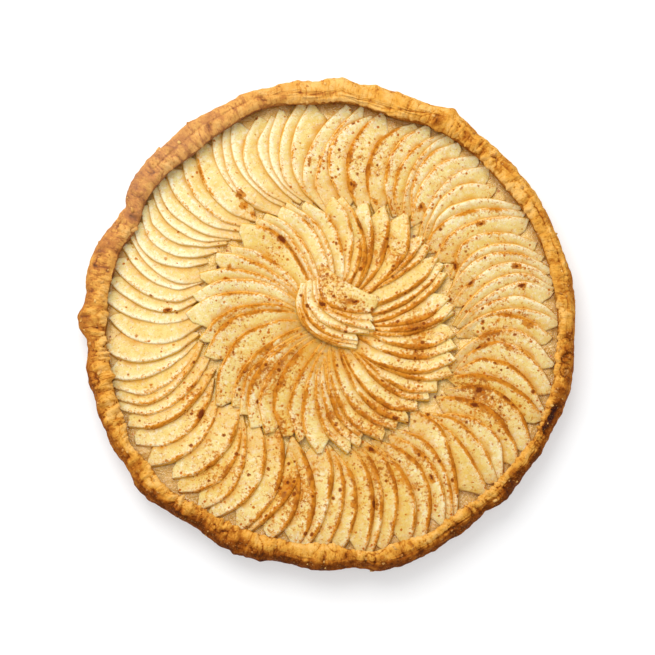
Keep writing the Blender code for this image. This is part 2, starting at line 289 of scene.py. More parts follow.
# The slices of the inner ring, clockwise.
INNER_FANS = (
    (
        (346.8, 50, 358.0, 71, 0, 29, 0.6), (339.0, 46, 352.5, 73, 352, 24, 0.5),
        (331.0, 52, 347.0, 74, 325, 26, 0.4), (327.5, 50, 340.0, 75, 326, 25, 0.3),
        (320.5, 53, 331.0, 71, 327, 28, 0.3), (315.3, 50, 326.0, 70, 324, 25, 0.4),
    ),
    (
        (304.7, 51, 318.5, 69, 307, 27, 0.6), (298.5, 48, 311.5, 70, 303, 24, 0.5),
        (288.0, 46, 305.0, 69, 292, 22, 0.3), (281.0, 48, 297.0, 71, 285, 20, 0.2),
    ),
    (
        (277.0, 48, 288.0, 65, 271, 24, 0.2), (271.5, 50, 286.0, 70, 270, 28, 0.2),
        (266.0, 50, 280.5, 72, 264, 28, 0.2), (255.5, 50, 267.5, 72, 266, 22, 0.4),
        (245.0, 46, 258.0, 66, 262, 18, 0.3),
    ),
    (
        (232.0, 46, 250.0, 66, 236, 20, 0.8), (225.0, 50, 242.0, 69, 222, 22, 0.1),
        (215.8, 49, 235.0, 71, 213, 23, 0.4),
    ),
    (
        (211.5, 49, 227.0, 69, 205, 22, 0.1), (206.0, 49, 222.0, 69, 194, 24, 0.5),
        (189.0, 50, 217.0, 76, 180, 23, 0.4),
    ),
    (
        (174.5, 51, 195.0, 70, 166, 26, 0.5), (167.0, 48, 187.0, 71, 161, 23, 0.3),
        (158.7, 50, 176.0, 79, 163, 24, 0.1), (149.5, 50, 168.0, 77, 151, 24, 0.1),
    ),
    (
        (143.5, 47, 159.0, 77, 146, 26, 0.1), (137.5, 48, 148.0, 74, 139, 26, 0.1),
        (131.0, 48, 141.5, 70, 134, 25, 0.1), (118.3, 56, 131.0, 75, 121, 28, 0.5),
    ),
    (
        (112.5, 50, 124.0, 72, 112, 28, 0.1), (107.5, 51, 120.0, 72, 107, 28, 0.1),
        (97.0, 50, 112.0, 72, 94, 30, 0.1), (92.5, 50, 109.0, 73, 88, 28, 0.1),
        (85.0, 54, 101.0, 71, 77, 31, 0.1),
    ),
    (
        (75.2, 52, 88.5, 73, 77, 28, 0.2), (66.5, 47, 82.0, 69, 76, 24, 0.4),
        (61.5, 44, 85.0, 74, 64, 26, 0.8), (57.8, 43, 74.0, 73, 60, 27, 0.4),
        (51.5, 50, 66.0, 75, 58, 28, 0.4), (42.8, 56, 56.0, 78, 50, 27, 0.6),
    ),
    (
        (39.8, 51, 44.0, 74, 50, 29, 0.3), (36.0, 56, 40.0, 73, 49, 31, 0.3),
        (25.0, 50, 33.5, 73, 38, 25, 0.5), (17.8, 46, 30.0, 74, 24, 25, 0.7),
        (9.8, 40, 25.5, 73, 12, 26, 0.6), (4.0, 50, 14.5, 70, 8, 28, 0.8),
        (0.0, 54, 10.5, 72, 2, 28, 0.8), (355.0, 44, 8.0, 71, 358, 25, 0.3),
    ),
)

# The slices of the middle fan, from the top one down. Each row gives the same three
# places on the edge as X and Y in mm, and then how brown the edge is.
CENTRE_FAN = (
    (-1.5, 13.0, -4.5, 35.5, 25.5, 9.0, 0.3), (-2.0, 10.8, -7.0, 28.0, 26.0, 4.0, 0.2),
    (-2.5, 8.5, -9.0, 25.5, 27.0, -1.2, 0.1), (-6.0, 4.2, -12.5, 25.0, 24.0, -3.5, 0.2),
    (-9.5, 1.2, -14.0, 24.0, 17.5, -8.0, 0.7), (-12.0, 0.2, -15.0, 24.0, 17.5, -10.0, 0.3),
    (-14.5, 1.5, -15.6, 24.0, 17.0, -12.3, 0.3),
)

# Where cinnamon lies: an angle, a radius and a spread in mm, and a strength.
CINNAMON = (
    (2, 50, 13, 0.8), (16, 76, 10, 0.5), (33, 84, 12, 0.5), (45, 70, 12, 0.3),
    (58, 50, 14, 0.8), (62, 84, 12, 0.5), (80, 98, 15, 0.6), (95, 100, 14, 0.35),
    (20, 110, 14, 0.35), (38, 104, 12, 0.3), (54, 104, 12, 0.3), (70, 104, 12, 0.45),
    (8, 106, 13, 0.3), (128, 52, 11, 0.6), (127, 84, 7, 0.6), (170, 46, 14, 0.5),
    (192, 60, 10, 0.4), (208, 46, 14, 0.6), (212, 84, 14, 0.6), (232, 36, 13, 0.75),
    (235, 100, 16, 0.5), (248, 64, 11, 0.6), (262, 98, 18, 0.8), (277, 50, 12, 0.7),
    (288, 90, 14, 0.5), (300, 62, 13, 0.8), (303, 96, 18, 0.5), (322, 56, 13, 0.6),
    (337, 98, 18, 0.9), (350, 54, 12, 0.7), (0, 96, 15, 0.6), (10, 12, 12, 0.4),
    (90, 20, 12, 0.25),
)
CINNAMON_EVERYWHERE = 0.10

# The side that baked darker, and the middle and half width of the fruit's pale part
BAKED_SIDE = 275.0
PALE_FRUIT = 142.0
PALE_FRUIT_WIDTH = 45.0

# Dark clots of cinnamon: an angle, and a radius and a half width in mm.
CLOTS = (
    (54, 87, 1.5), (28, 111, 0.9), (19, 86, 1.2), (20, 113, 0.8), (14, 113, 1.0),
    (14.5, 122, 0.6), (36, 105, 0.8), (27.5, 81, 1.3), (42, 52, 0.8), (44, 20.5, 1.5),
    (104, 12.5, 1.3), (78, 11, 0.7), (2.5, 114, 1.4), (87.5, 97, 1.0), (87, 87, 1.1),
    (82, 82, 1.4), (71, 77, 0.9), (217, 87, 1.3), (257.5, 40.5, 1.1), (258, 91, 1.1),
    (264, 105.5, 1.0), (210.5, 53, 0.9), (203.5, 35, 1.0), (253, 71, 0.9), (257, 98.5, 1.3),
    (222, 120, 0.7), (235, 94, 0.7), (291.5, 74, 1.0), (284, 40, 0.9), (308, 65, 1.0),
    (306.5, 105, 0.8), (333.5, 94, 1.0), (339, 94, 1.4), (355.5, 104, 1.2), (354, 87, 0.8),
    (280, 101, 1.0), (287, 105, 1.1), (273, 89, 0.9), (315, 119, 0.7), (322.5, 40, 1.1),
    (125, 77, 1.2), (125, 91, 1.4), (126, 84, 1.6), (104.5, 100, 0.8), (98, 94.5, 0.9),
    (94, 93.5, 0.8), (154.5, 114.5, 0.7), (155, 105, 0.8), (150.5, 65, 1.1), (157, 63, 0.8),
    (176, 91, 0.8), (158.5, 39, 0.7), (119, 56, 1.3), (103, 62.5, 0.9),
)
CLOT_STRENGTH = 6.0

# The slices
# Readings on the slices' points: crest is a painted highlight along each edge, foot is painted shade
# beside the slice above and in the shade of the ring inside, and side colours the walls golden, partly
# their own colour and partly painted light.
SLICE_READINGS = ("browning", "cinnamon", "tone", "crest", "side", "foot")
ALONG = 26
DEPTH_STEPS = 12
ACROSS = (0.0, 0.3, 0.52, 0.68, 0.8, 0.88, 0.94, 0.98, 1.0)
SLICE_THICKNESS = 2.0 * MM
CREST_HEIGHT = 4.6 * MM
FOOT_HEIGHT = 0.7 * MM
NARROWEST_BAND = 3.0 * MM
STEEPEST = 0.42
FLATTEST = 0.10
WALL_SPREAD = 1.3 * MM
SKIRT = 0.8 * MM
CORE_DEPTH = 4.5 * MM
TIP_CUT = 3.0 * MM
UNDERLAP = 3.0 * MM
DEEPEST_CORE = 20.0 * MM
LOWEST_POINT = -2.5 * MM
CLIMB_FIELD = (52.0 * MM, 70.0 * MM)
MIDDLE_LIFT = 3.6 * MM
MIDDLE_FIRST = 200

# Where a slice lies in the shade of the ring inside: for outer tips beyond a radius,
# the radii where the shade is full and where it ends, and how dark it is.
SHADES = (
    (100.0 * MM, (80.0 * MM, 88.0 * MM, 0.30)),
    (45.0 * MM, (24.0 * MM, 31.0 * MM, 0.50)),
    (0.0, (0.0, 1.0 * MM, 0.0)),
)

# The cinnamon's coarse grains
GRAIN_COUNT = 260
GRAIN_FIELD = 122.0 * MM
GRAIN_SIZE = 0.34 * MM

# Loose flakes on the rim, and the angle, radius, height and size of the one that hangs
FLAKE_COUNT = 120
FLAKE_SIZE = 0.75 * MM
FLAKE_THICKNESS = 0.16 * MM
FLAKE_FIELD = (127.0 * MM, 140.5 * MM)
LOWEST_FLAKE = 12.0 * MM
HANGING_FLAKE = (282.6, 140.7 * MM, 13.0 * MM, 2.2 * MM)

# How far each ring's slices run on, out of sight, past the inner tips of its table,
# how far their outer tips reach on, and how far those climb over the ring outside.
OUTER_TUCK = 4.5 * MM
OUTER_REACH = 4.4 * MM
OPEN_SIDE = 205.0
OPEN_WIDTH = 40.0
OPEN_REACH = 1.4 * MM
INNER_TUCK = 9.0 * MM
INNER_REACH = 1.5 * MM
TOP_STEEPEST = 0.10
INNER_CLIMB = 2.4 * MM

# Colours, as red, green, blue and opacity
CREAM = (0.70, 0.605, 0.280, 1)
YELLOW = (0.61, 0.380, 0.050, 1)
VEIN = (0.58, 0.36, 0.050, 1)
GLOW = (0.57, 0.26, 0.024, 1)
STAIN_EDGE = (0.56, 0.21, 0.010, 1)
STAIN_LIGHT = (0.50, 0.180, 0.014, 1)
STAIN_DARK = (0.26, 0.060, 0.004, 1)
HALO = (0.50, 0.170, 0.010, 1)
SPECK = (0.40, 0.098, 0.004, 1)
SPOT = (0.16, 0.028, 0.004, 1)
CLOT = (0.13, 0.022, 0.004, 1)
DULL = 0.02

# The oven's colours: the browning at which each starts, and at which it is full
OVEN_COLOURS = (
    (0.05, 0.36, (0.64, 0.30, 0.042, 1.0)),
    (0.30, 0.58, (0.43, 0.145, 0.014, 1.0)),
    (0.54, 0.82, (0.24, 0.058, 0.005, 1.0)),
    (0.78, 1.04, (0.115, 0.026, 0.003, 1.0)),
    (1.05, 1.35, (0.045, 0.013, 0.010, 1.0)),
)


# ---------------------------------------------------------------- small helpers


def arc_direction(elevation, azimuth):
    """Unit vector that points away from the tart at an elevation and an azimuth."""
    lift = math.radians(elevation)
    turn = math.radians(azimuth)
    flat = math.cos(lift)
    return Vector((flat * math.cos(turn), flat * math.sin(turn), math.sin(lift)))


def polar(angle, radius, height):
    """A place from an angle, a radius and a height."""
    turn = math.radians(angle)
    return Vector((radius * math.cos(turn), radius * math.sin(turn), height))


def bearing(point):
    """The angle at which a point lies from the origin."""
    return math.degrees(math.atan2(point.y, point.x))


def smooth(low, high, value):
    """Rise smoothly from 0 at low to 1 at high."""
    t = min(max((value - low) / (high - low), 0.0), 1.0)
    return t * t * (3.0 - 2.0 * t)


def degrees_apart(one, other):
    """Signed distance between two angles, in degrees."""
    return (one - other + 180.0) % 360.0 - 180.0


def bell(distance, width):
    """A bump that is 1 at distance 0 and fades over the width."""
    return math.exp(-((distance / width) ** 2))


def spline(before, here, after, beyond, t):
    """Read a Catmull-Rom curve between here and after."""
    square = 2.0 * before - 5.0 * here + 4.0 * after - beyond
    cube = 3.0 * (here - after) + beyond - before
    return here + 0.5 * t * (after - before + t * (square + t * cube))


def around(values, angle):
    """Read a ring of evenly spaced values at an angle."""
    place = angle % 360.0 / 360.0 * len(values)
    first = int(place)
    near = [values[(first + k) % len(values)] for k in (-1, 0, 1, 2)]
    return spline(*near, place - first)


def rim_row(angle):
    """Read the RIM table at an angle, blending between its rows."""
    rows = list(RIM)
    rows.append((rows[0][0] + 360.0, *rows[0][1:]))
    turned = angle % 360.0
    for low, high in zip(rows, rows[1:]):
        if turned <= high[0]:
            t = smooth(low[0], high[0], turned)
            return [a + (b - a) * t for a, b in zip(low[1:], high[1:])]
    return rows[0][1:]


def grainy(x, y, z, size):
    """Smooth noise between about -1 and 1 whose features have the given size."""
    return noise.noise(Vector((x, y, z)) / size)


def ripple(turn, across, size, seed, stretch=1.0):
    """Noise that closes round the rim. A small stretch draws it out along the rim."""
    radius = RIM_RADIUS * stretch / size
    place = Vector((radius * math.cos(turn), radius * math.sin(turn), across / size + seed))
    return noise.noise(place)


def mesh_object(name, bm, material):
    """Turn a bmesh into an object of one material."""
    mesh = bpy.data.meshes.new(name)
    bm.to_mesh(mesh)
    bm.free()
    mesh.materials.append(material)
    made = bpy.data.objects.new(name, mesh)
    bpy.context.collection.objects.link(made)
    return made


def finish_piece(name, bm, material, body, slot, *nodes):
    """Make a bmesh a piece that rides on a body and stands for some CAD nodes."""
    made = mesh_object(name, bm, material)
    made.data.shade_smooth()
    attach(made, body)
    if nodes:
        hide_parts(*nodes)
    return made


def close_up(bm):
    """Join the ends of a grid that was bent into a ring, and fill its holes."""
    bmesh.ops.remove_doubles(bm, verts=bm.verts, dist=WELD)
    open_edges = [edge for edge in bm.edges if len(edge.link_faces) == 1]
    bmesh.ops.holes_fill(bm, edges=open_edges)
    bmesh.ops.recalc_face_normals(bm, faces=bm.faces)


def faces_of(verts):
    """The faces round some vertices, each once, in the order in which they are met."""
    return list(dict.fromkeys(face for vert in verts for face in vert.link_faces))


def verts_of(geometry):
    """The vertices among some bmesh items."""
    return [item for item in geometry if isinstance(item, bmesh.types.BMVert)]


# ---------------------------------------------------------------- shader nodes


def add(tree, kind, sockets=None, **settings):
    """Add a shader node, set it up, and fill its sockets with values or links."""
    made = tree.nodes.new("ShaderNode" + kind)
    for name, value in settings.items():
        setattr(made, name, value)
    for name, value in (sockets or {}).items():
        if isinstance(value, bpy.types.NodeSocket):
            tree.links.new(value, made.inputs[name])
        else:
            made.inputs[name].default_value = value
    return made


def math_node(tree, operation, one, other):
    """Combine two numbers."""
    return add(tree, "Math", {0: one, 1: other}, operation=operation).outputs[0]


def plus(tree, one, other):
    """Add two numbers."""
    return math_node(tree, "ADD", one, other)


def minus(tree, one, other):
    """Take the second number from the first."""
    return math_node(tree, "SUBTRACT", one, other)


def times(tree, one, other):
    """Multiply two numbers."""
    return math_node(tree, "MULTIPLY", one, other)


def blend(tree, factor, one, other):
    """Mix two colours."""
    return add(tree, "Mix", {0: factor, 6: one, 7: other}, data_type="RGBA").outputs[2]


def cover(tree, colour, mask, strength, tint):
    """Lay a tint over a colour where a mask is, at a strength."""
    return blend(tree, times(tree, mask, strength), colour, tint)


def ramp(tree, value, low, high):
    """Turn a value into a mask that rises smoothly from low to high."""
    sockets = {"Value": value, "From Min": low, "From Max": high}
    made = add(tree, "MapRange", sockets, interpolation_type="SMOOTHSTEP")
    return made.outputs["Result"]


def speckle(tree, vector, scale, detail=2.0, roughness=0.5):
    """Noise between 0 and 1."""
    sockets = {"Vector": vector, "Scale": scale, "Detail": detail, "Roughness": roughness}
    return add(tree, "TexNoise", sockets).outputs["Fac"]


def position(tree):
    """The place on the tart, in metres."""
    return add(tree, "TexCoord").outputs["Object"]


def reading(tree, name):
    """A number that the piece carries on its points."""
    return add(tree, "Attribute", attribute_name=name).outputs["Fac"]


def new_group(name, inputs, outputs):
    """Start a node group. Inputs and outputs are pairs of a name and a socket kind."""
    tree = bpy.data.node_groups.new(name, "ShaderNodeTree")
    for title, kind in inputs:
        tree.interface.new_socket(name=title, in_out="INPUT", socket_type="NodeSocket" + kind)
    for title, kind in outputs:
        tree.interface.new_socket(name=title, in_out="OUTPUT", socket_type="NodeSocket" + kind)
    entry = tree.nodes.new("NodeGroupInput")
    leave = tree.nodes.new("NodeGroupOutput")
    return tree, entry.outputs, leave.inputs


def place_group(tree, group, sockets):
    """Put a node group into a material and return its outputs."""
    return add(tree, "Group", sockets, node_tree=group).outputs


def dots(tree, vector, scale, limit):
    """Roundish dots of several sizes. The lower the limit, the more of them there are."""
    cells = add(tree, "TexVoronoi", {"Vector": vector, "Scale": scale})
    lots = add(tree, "SeparateColor", {"Color": cells.outputs["Color"]}).outputs
    chosen = ramp(tree, minus(tree, lots["Red"], limit), 0.0, 0.04)
    size = plus(tree, 0.19, times(tree, lots["Green"], 0.25))
    reach = math_node(tree, "DIVIDE", cells.outputs["Distance"], size)
    return times(tree, chosen, ramp(tree, reach, 1.25, 0.45))


def cinnamon_group():
    """Cinnamon: a glow, stains that fade at their edges, specks, dark spots and clots."""
    inputs = (("Vector", "Vector"), ("Amount", "Float"))
    titles = ("Glow", "Stain", "Specks", "Spots", "Clots")
    outputs = [(title, "Float") for title in titles]
    tree, given, wanted = new_group("cinnamon dusting", inputs, outputs)
    amount = given["Amount"]
    vector = given["Vector"]
    drift = minus(tree, speckle(tree, vector, 90.0, 2.0, 0.5), 0.5)
    uneven = plus(tree, 1.0, times(tree, drift, 2.2))
    richer = times(tree, amount, uneven)
    layers = (
        ("Glow", 190.0, 5.0, 0.70, 0.60, 0.20, -0.08, 0.24),
        ("Stain", 500.0, 4.0, 0.76, 0.605, 0.17, -0.04, 0.16),
    )
    for title, scale, detail, roughness, rare, gain, low, high in layers:
        pattern = speckle(tree, vector, scale, detail, roughness)
        limit = minus(tree, rare, times(tree, richer, gain))
        mask = ramp(tree, minus(tree, pattern, limit), low, high)
        tree.links.new(mask, wanted[title])
    sway = add(tree, "TexNoise", {"Vector": vector, "Scale": 900.0, "Detail": 3.0})
    shake = {0: sway.outputs["Color"], 1: (1.3 * MM, 1.3 * MM, 1.3 * MM), 2: vector}
    ragged = add(tree, "VectorMath", shake, operation="MULTIPLY_ADD").outputs["Vector"]
    sizes = (("Specks", 430.0, 0.965, 0.44), ("Spots", 270.0, 0.985, 0.22))
    for title, scale, rare, gain in sizes:
        limit = minus(tree, rare, times(tree, richer, gain))
        tree.links.new(dots(tree, ragged, scale, limit), wanted[title])
    grit = times(tree, speckle(tree, vector, 850.0, 3.0), 1.2)
    heap = times(tree, amount, plus(tree, 0.4, grit))
    tree.links.new(ramp(tree, heap, 2.2, 3.6), wanted["Clots"])
    return tree


def oven_group():
    """Browning by the oven, broken up into patches: gold, amber, brown, then black."""
    numbers = [(title, "Float") for title in ("Browning", "Patchiness", "Scale")]
    inputs = [("Vector", "Vector"), ("Colour", "Color"), *numbers]
    tree, given, wanted = new_group("oven browning", inputs, (("Colour", "Color"),))
    patches = speckle(tree, given["Vector"], given["Scale"], 5.0, 0.65)
    shift = times(tree, minus(tree, patches, 0.5), given["Patchiness"])
    level = plus(tree, given["Browning"], shift)
    colour = given["Colour"]
    for start, full, tint in OVEN_COLOURS:
        colour = blend(tree, ramp(tree, level, start, full), colour, tint)
    tree.links.new(colour, wanted["Colour"])
    return tree


def relief_group():
    """Fine relief: soft lumps with smaller ones on them."""
    inputs = (("Vector", "Vector"), ("Scale", "Float"), ("Fineness", "Float"))
    tree, given, wanted = new_group("fine relief", inputs, (("Height", "Float"),))
    lumps = speckle(tree, given["Vector"], given["Scale"], 3.0, 0.55)
    finer = times(tree, given["Scale"], 3.7)
    grit = speckle(tree, given["Vector"], finer, 3.0, 0.6)
    height = plus(tree, lumps, times(tree, grit, given["Fineness"]))
    tree.links.new(height, wanted["Height"])
    return tree


def new_material(name, sockets):
    """A material with its tree and its shader, whose constants are filled in."""
    made = bpy.data.materials.new(name)
    made.use_nodes = True
    shader = made.node_tree.nodes["Principled BSDF"]
    for title, value in sockets.items():
        shader.inputs[title].default_value = value
    return made, made.node_tree, shader


def bump(tree, shader, height, distance, strength=1.0):
    """Lead a height to a shader's normal."""
    sockets = {"Height": height, "Distance": distance, "Strength": strength}
    made = add(tree, "Bump", sockets)
    tree.links.new(made.outputs["Normal"], shader.inputs["Normal"])


# ---------------------------------------------------------------- materials


def powdered(tree, dust, place, amount, colour):
    """Lay cinnamon over a colour."""
    masks = place_group(tree, dust, {"Vector": place, "Amount": amount})
    shade = ramp(tree, speckle(tree, place, 240.0, 2.0), 0.38, 0.62)
    stain = blend(tree, shade, STAIN_LIGHT, STAIN_DARK)
    colour = cover(tree, colour, masks["Glow"], 0.46, GLOW)
    colour = cover(tree, colour, ramp(tree, masks["Stain"], 0.0, 0.5), 0.55, STAIN_EDGE)
    colour = cover(tree, colour, ramp(tree, masks["Stain"], 0.3, 1.0), 0.80, stain)
    for title, tint in (("Specks", SPECK), ("Spots", SPOT)):
        colour = cover(tree, colour, ramp(tree, masks[title], 0.0, 0.5), 0.70, HALO)
        colour = cover(tree, colour, ramp(tree, masks[title], 0.35, 0.95), 0.85, tint)
    return cover(tree, colour, masks["Clots"], 0.92, CLOT)


def apple_material(dust, oven, relief):
    """Baked apple flesh: cream to yellow, mottled, with browned edges and cinnamon, a painted highlight
    along each edge, painted shade beside the slice above, and golden walls that are partly painted
    light.
    """
    made, tree, shader = new_material("baked apple", {
        "Specular IOR Level": DULL,
        "Subsurface Weight": 0.20,
        "Subsurface Radius": (1.0, 0.7, 0.3),
        "Subsurface Scale": 0.8 * MM,
    })
    place = position(tree)
    grain = add(tree, "Attribute", attribute_name="grain").outputs["Vector"]
    tone = reading(tree, "tone")
    side = reading(tree, "side")

    patches = speckle(tree, place, 210.0, 5.0, 0.7)
    yellowness = plus(tree, times(tree, minus(tree, patches, 0.5), 1.8), tone)
    flesh = blend(tree, ramp(tree, yellowness, -0.22, 1.0), CREAM, YELLOW)
    cloud = ramp(tree, speckle(tree, place, 420.0, 4.0, 0.65), 0.46, 0.66)
    flesh = cover(tree, flesh, cloud, minus(tree, 0.95, tone), (0.73, 0.70, 0.54, 1))
    stretch = add(tree, "Mapping", {"Vector": grain, "Scale": (0.45, 1.0, 1.0)}).outputs[0]
    fibres = speckle(tree, stretch, 800.0, 3.0, 0.65)
    flesh = cover(tree, flesh, ramp(tree, fibres, 0.52, 0.75), 0.45, VEIN)
    cells = ramp(tree, speckle(tree, place, 1300.0, 2.0, 0.6), 0.52, 0.72)
    flesh = cover(tree, flesh, cells, 0.40, VEIN)
    # A painted highlight along each slice's edge, from the crest reading
    flesh = blend(tree, reading(tree, "crest"), flesh, (0.76, 0.73, 0.52, 1))
    # Golden walls and outer rim from the side reading: partly the peeled flesh's own colour, partly
    # painted light that lifts the walls' shade
    flesh = blend(tree, ramp(tree, side, 0.1, 0.8), flesh, (0.74, 0.41, 0.030, 1))
    # Painted shade where the slice goes under the one above and where the ring inside shades it, from
    # the foot reading
    flesh = blend(tree, reading(tree, "foot"), flesh, (0.54, 0.215, 0.007, 1))

    baked = place_group(tree, oven, {
        "Vector": place,
        "Colour": flesh,
        "Browning": reading(tree, "browning"),
        "Patchiness": 1.25,
        "Scale": 700.0,
    })["Colour"]
    colour = powdered(tree, dust, place, reading(tree, "cinnamon"), baked)
    tree.links.new(colour, shader.inputs["Base Color"])

    height = place_group(tree, relief, {"Vector": place, "Scale": 380.0, "Fineness": 0.5})["Height"]
    ribs = plus(tree, height, times(tree, fibres, 0.35))
    bump(tree, shader, ribs, 0.45 * MM, 0.9)
    damp = ramp(tree, patches, 0.35, 0.75)
    rough = plus(tree, 0.38, times(tree, damp, 0.22))
    tree.links.new(rough, shader.inputs["Roughness"])
    return made


def crust_material(oven, relief):
    """Baked puff pastry, with wrinkles, fine blisters and an egg-wash shine, painted shade in the
    creases and a painted sheen on one side.
    """
    made, tree, shader = new_material("baked puff pastry", {"Specular IOR Level": DULL})
    place = position(tree)
    skin = add(tree, "Attribute", attribute_name="skin").outputs["Vector"]
    drawn = add(tree, "Mapping", {"Vector": skin, "Scale": (1.0, 1.0, 0.35)}).outputs[0]
    wrinkles = speckle(tree, drawn, 620.0, 3.0, 0.6)
    blisters = speckle(tree, place, 900.0, 3.0, 0.6)

    # Painted shade in the wrinkles' creases
    crease_shade = ramp(tree, wrinkles, 0.50, 0.32)
    level = plus(tree, reading(tree, "browning"), times(tree, crease_shade, 0.24))
    baked = place_group(tree, oven, {
        "Vector": place,
        "Colour": (0.74, 0.425, 0.120, 1),
        "Browning": level,
        "Patchiness": 0.8,
        "Scale": 210.0,
    })["Colour"]
    freckles = ramp(tree, blisters, 0.58, 0.72)
    colour = cover(tree, baked, freckles, 0.45, (0.36, 0.115, 0.020, 1))
    flour = ramp(tree, blisters, 0.42, 0.28)
    colour = cover(tree, colour, flour, 0.35, (0.80, 0.50, 0.16, 1))
    # A painted sheen: paler, less saturated colour on the side towards the window
    colour = cover(tree, colour, reading(tree, "painted_sheen"), 0.30, (0.60, 0.36, 0.21, 1))
    tree.links.new(colour, shader.inputs["Base Color"])

    height = place_group(tree, relief, {"Vector": place, "Scale": 480.0, "Fineness": 0.6})["Height"]
    folds = plus(tree, height, times(tree, wrinkles, 1.3))
    bump(tree, shader, folds, 0.7 * MM, 1.0)
    shine = speckle(tree, place, 150.0, 2.0, 0.5)
    tree.links.new(ramp(tree, shine, -0.3, 0.9), shader.inputs["Roughness"])
    return made


def compote_material(dust, relief):
    """Stewed apple: glossy, tan and cloudy, with painted shadow under the lip and round the middle fan,
    and whitish smears that also stand in as painted glints.
    """
    made, tree, shader = new_material("apple compote", {
        "Roughness": 0.08,
        "Specular IOR Level": 0.6,
        "Subsurface Weight": 0.15,
        "Subsurface Radius": (1.0, 0.7, 0.4),
        "Subsurface Scale": 1.5 * MM,
    })
    place = position(tree)
    cloud = ramp(tree, speckle(tree, place, 170.0, 4.0, 0.6), 0.36, 0.64)
    colour = blend(tree, cloud, (0.65, 0.38, 0.070, 1), (0.77, 0.54, 0.18, 1))
    # Whitish smears of the compote, which also stand in as painted glints
    smear_and_glint = ramp(tree, speckle(tree, place, 380.0, 4.0, 0.65), 0.54, 0.70)
    colour = cover(tree, colour, smear_and_glint, 0.5, (0.88, 0.75, 0.46, 1))
    # The deep reading: painted shadow under the lip and painted shade round the middle fan, and a
    # darker golden colour of the compote's own towards the baked side by the rim
    colour = blend(tree, reading(tree, "deep"), colour, (0.40, 0.185, 0.030, 1))
    colour = powdered(tree, dust, place, 0.15, colour)
    tree.links.new(colour, shader.inputs["Base Color"])
    height = place_group(tree, relief, {"Vector": place, "Scale": 300.0, "Fineness": 0.3})["Height"]
    bump(tree, shader, height, 1.6 * MM, 1.0)
    return made


def flake_material():
    """Thin leaves of puff pastry, from straw to brown."""
    settings = {"Roughness": 0.6, "Specular IOR Level": 0.1}
    made, tree, shader = new_material("pastry flakes", settings)
    place = position(tree)
    leaf = ramp(tree, speckle(tree, place, 140.0, 1.0), 0.34, 0.66)
    colour = blend(tree, leaf, (0.70, 0.41, 0.12, 1.0), (0.40, 0.15, 0.028, 1.0))
    grit = ramp(tree, speckle(tree, place, 1400.0, 2.0), 0.5, 0.7)
    colour = cover(tree, colour, grit, 0.4, (0.34, 0.12, 0.02, 1.0))
    tree.links.new(colour, shader.inputs["Base Color"])
    return made


def powder_material():
    """Cinnamon grains."""
    made, tree, shader = new_material("cinnamon", {"Roughness": 0.9})
    shade = speckle(tree, position(tree), 500.0, 1.0)
    colour = blend(tree, ramp(tree, shade, 0.35, 0.65), (0.34, 0.095, 0.016, 1), (0.54, 0.20, 0.032, 1))
    tree.links.new(colour, shader.inputs["Base Color"])
    return made


# ---------------------------------------------------------------- studio


def stand(name, data, away, spot):
    """Put a camera or a light at a spot, facing against the direction away."""
    made = bpy.data.objects.new(name, data)
    made.location = spot
    made.rotation_euler = (-away).to_track_quat("-Z", "Y").to_euler()
    bpy.context.collection.objects.link(made)
    return made


def camera():
    """Look down on the tart, tilted a little towards its near side."""
    away = arc_direction(CAMERA_ELEVATION, CAMERA_AZIMUTH)
    data = bpy.data.cameras.new("camera")
    data.sensor_width = SENSOR_WIDTH
    data.lens = SENSOR_WIDTH * CAMERA_DISTANCE / FIELD_WIDTH
    data.clip_end = 2.0 * CAMERA_DISTANCE
    spot = CAMERA_AIM + away * CAMERA_DISTANCE
    bpy.context.scene.camera = stand("camera", data, away, spot)


def lights():
    """A large soft window from the upper left, and a white sky."""
    world = bpy.data.worlds.new("studio")
    world.use_nodes = True
    sky = world.node_tree.nodes["Background"]
    sky.inputs["Color"].default_value = (1.0, 1.0, 1.0, 1.0)
    sky.inputs["Strength"].default_value = SKY_STRENGTH
    bpy.context.scene.world = world
    away = arc_direction(WINDOW_ELEVATION, WINDOW_AZIMUTH)
    data = bpy.data.lights.new("window", "AREA")
    data.shape = "DISK"
    data.size = WINDOW_SIZE
    data.energy = WINDOW_POWER
    stand("window", data, away, away * WINDOW_DISTANCE)


def floor():
    """A plain white floor."""
    bm = bmesh.new()
    bmesh.ops.create_grid(bm, x_segments=1, y_segments=1, size=FLOOR_SIZE)
    material, _, _ = new_material("floor", {
        "Roughness": 0.8,
        "Base Color": FLOOR_COLOUR,
        "Emission Color": (1.0, 1.0, 1.0, 1.0),
        "Emission Strength": FLOOR_GLOW,
    })
    laid = mesh_object("floor", bm, material)


# ---------------------------------------------------------------- crust


def shell_rings():
    """Read the outline, the lip and the crown of the CAD shell at each column."""
    columns = [[] for _ in range(SHELL_COLUMNS)]
    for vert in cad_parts["pastry_shell"].data.vertices:
        column = round(bearing(vert.co) / 360.0 * SHELL_COLUMNS) % SHELL_COLUMNS
        columns[column].append((math.hypot(vert.co.x, vert.co.y), vert.co.z))
    outline = [max(radius for radius, _ in column) for column in columns]
    crown = [max(height for _, height in column) for column in columns]
    lip = []
    for column in columns:
        lip.append(min(radius for radius, height in column if height > COMPOTE_LEVEL + MM))
    return [evened(ring) for ring in (outline, lip, crown)]


def evened(ring):
    """Take the sharpest corners off a ring of values."""
    last = len(ring) - 1
    return [0.2 * ring[k - 1] + 0.6 * ring[k] + 0.2 * ring[k - last] for k in range(last + 1)]


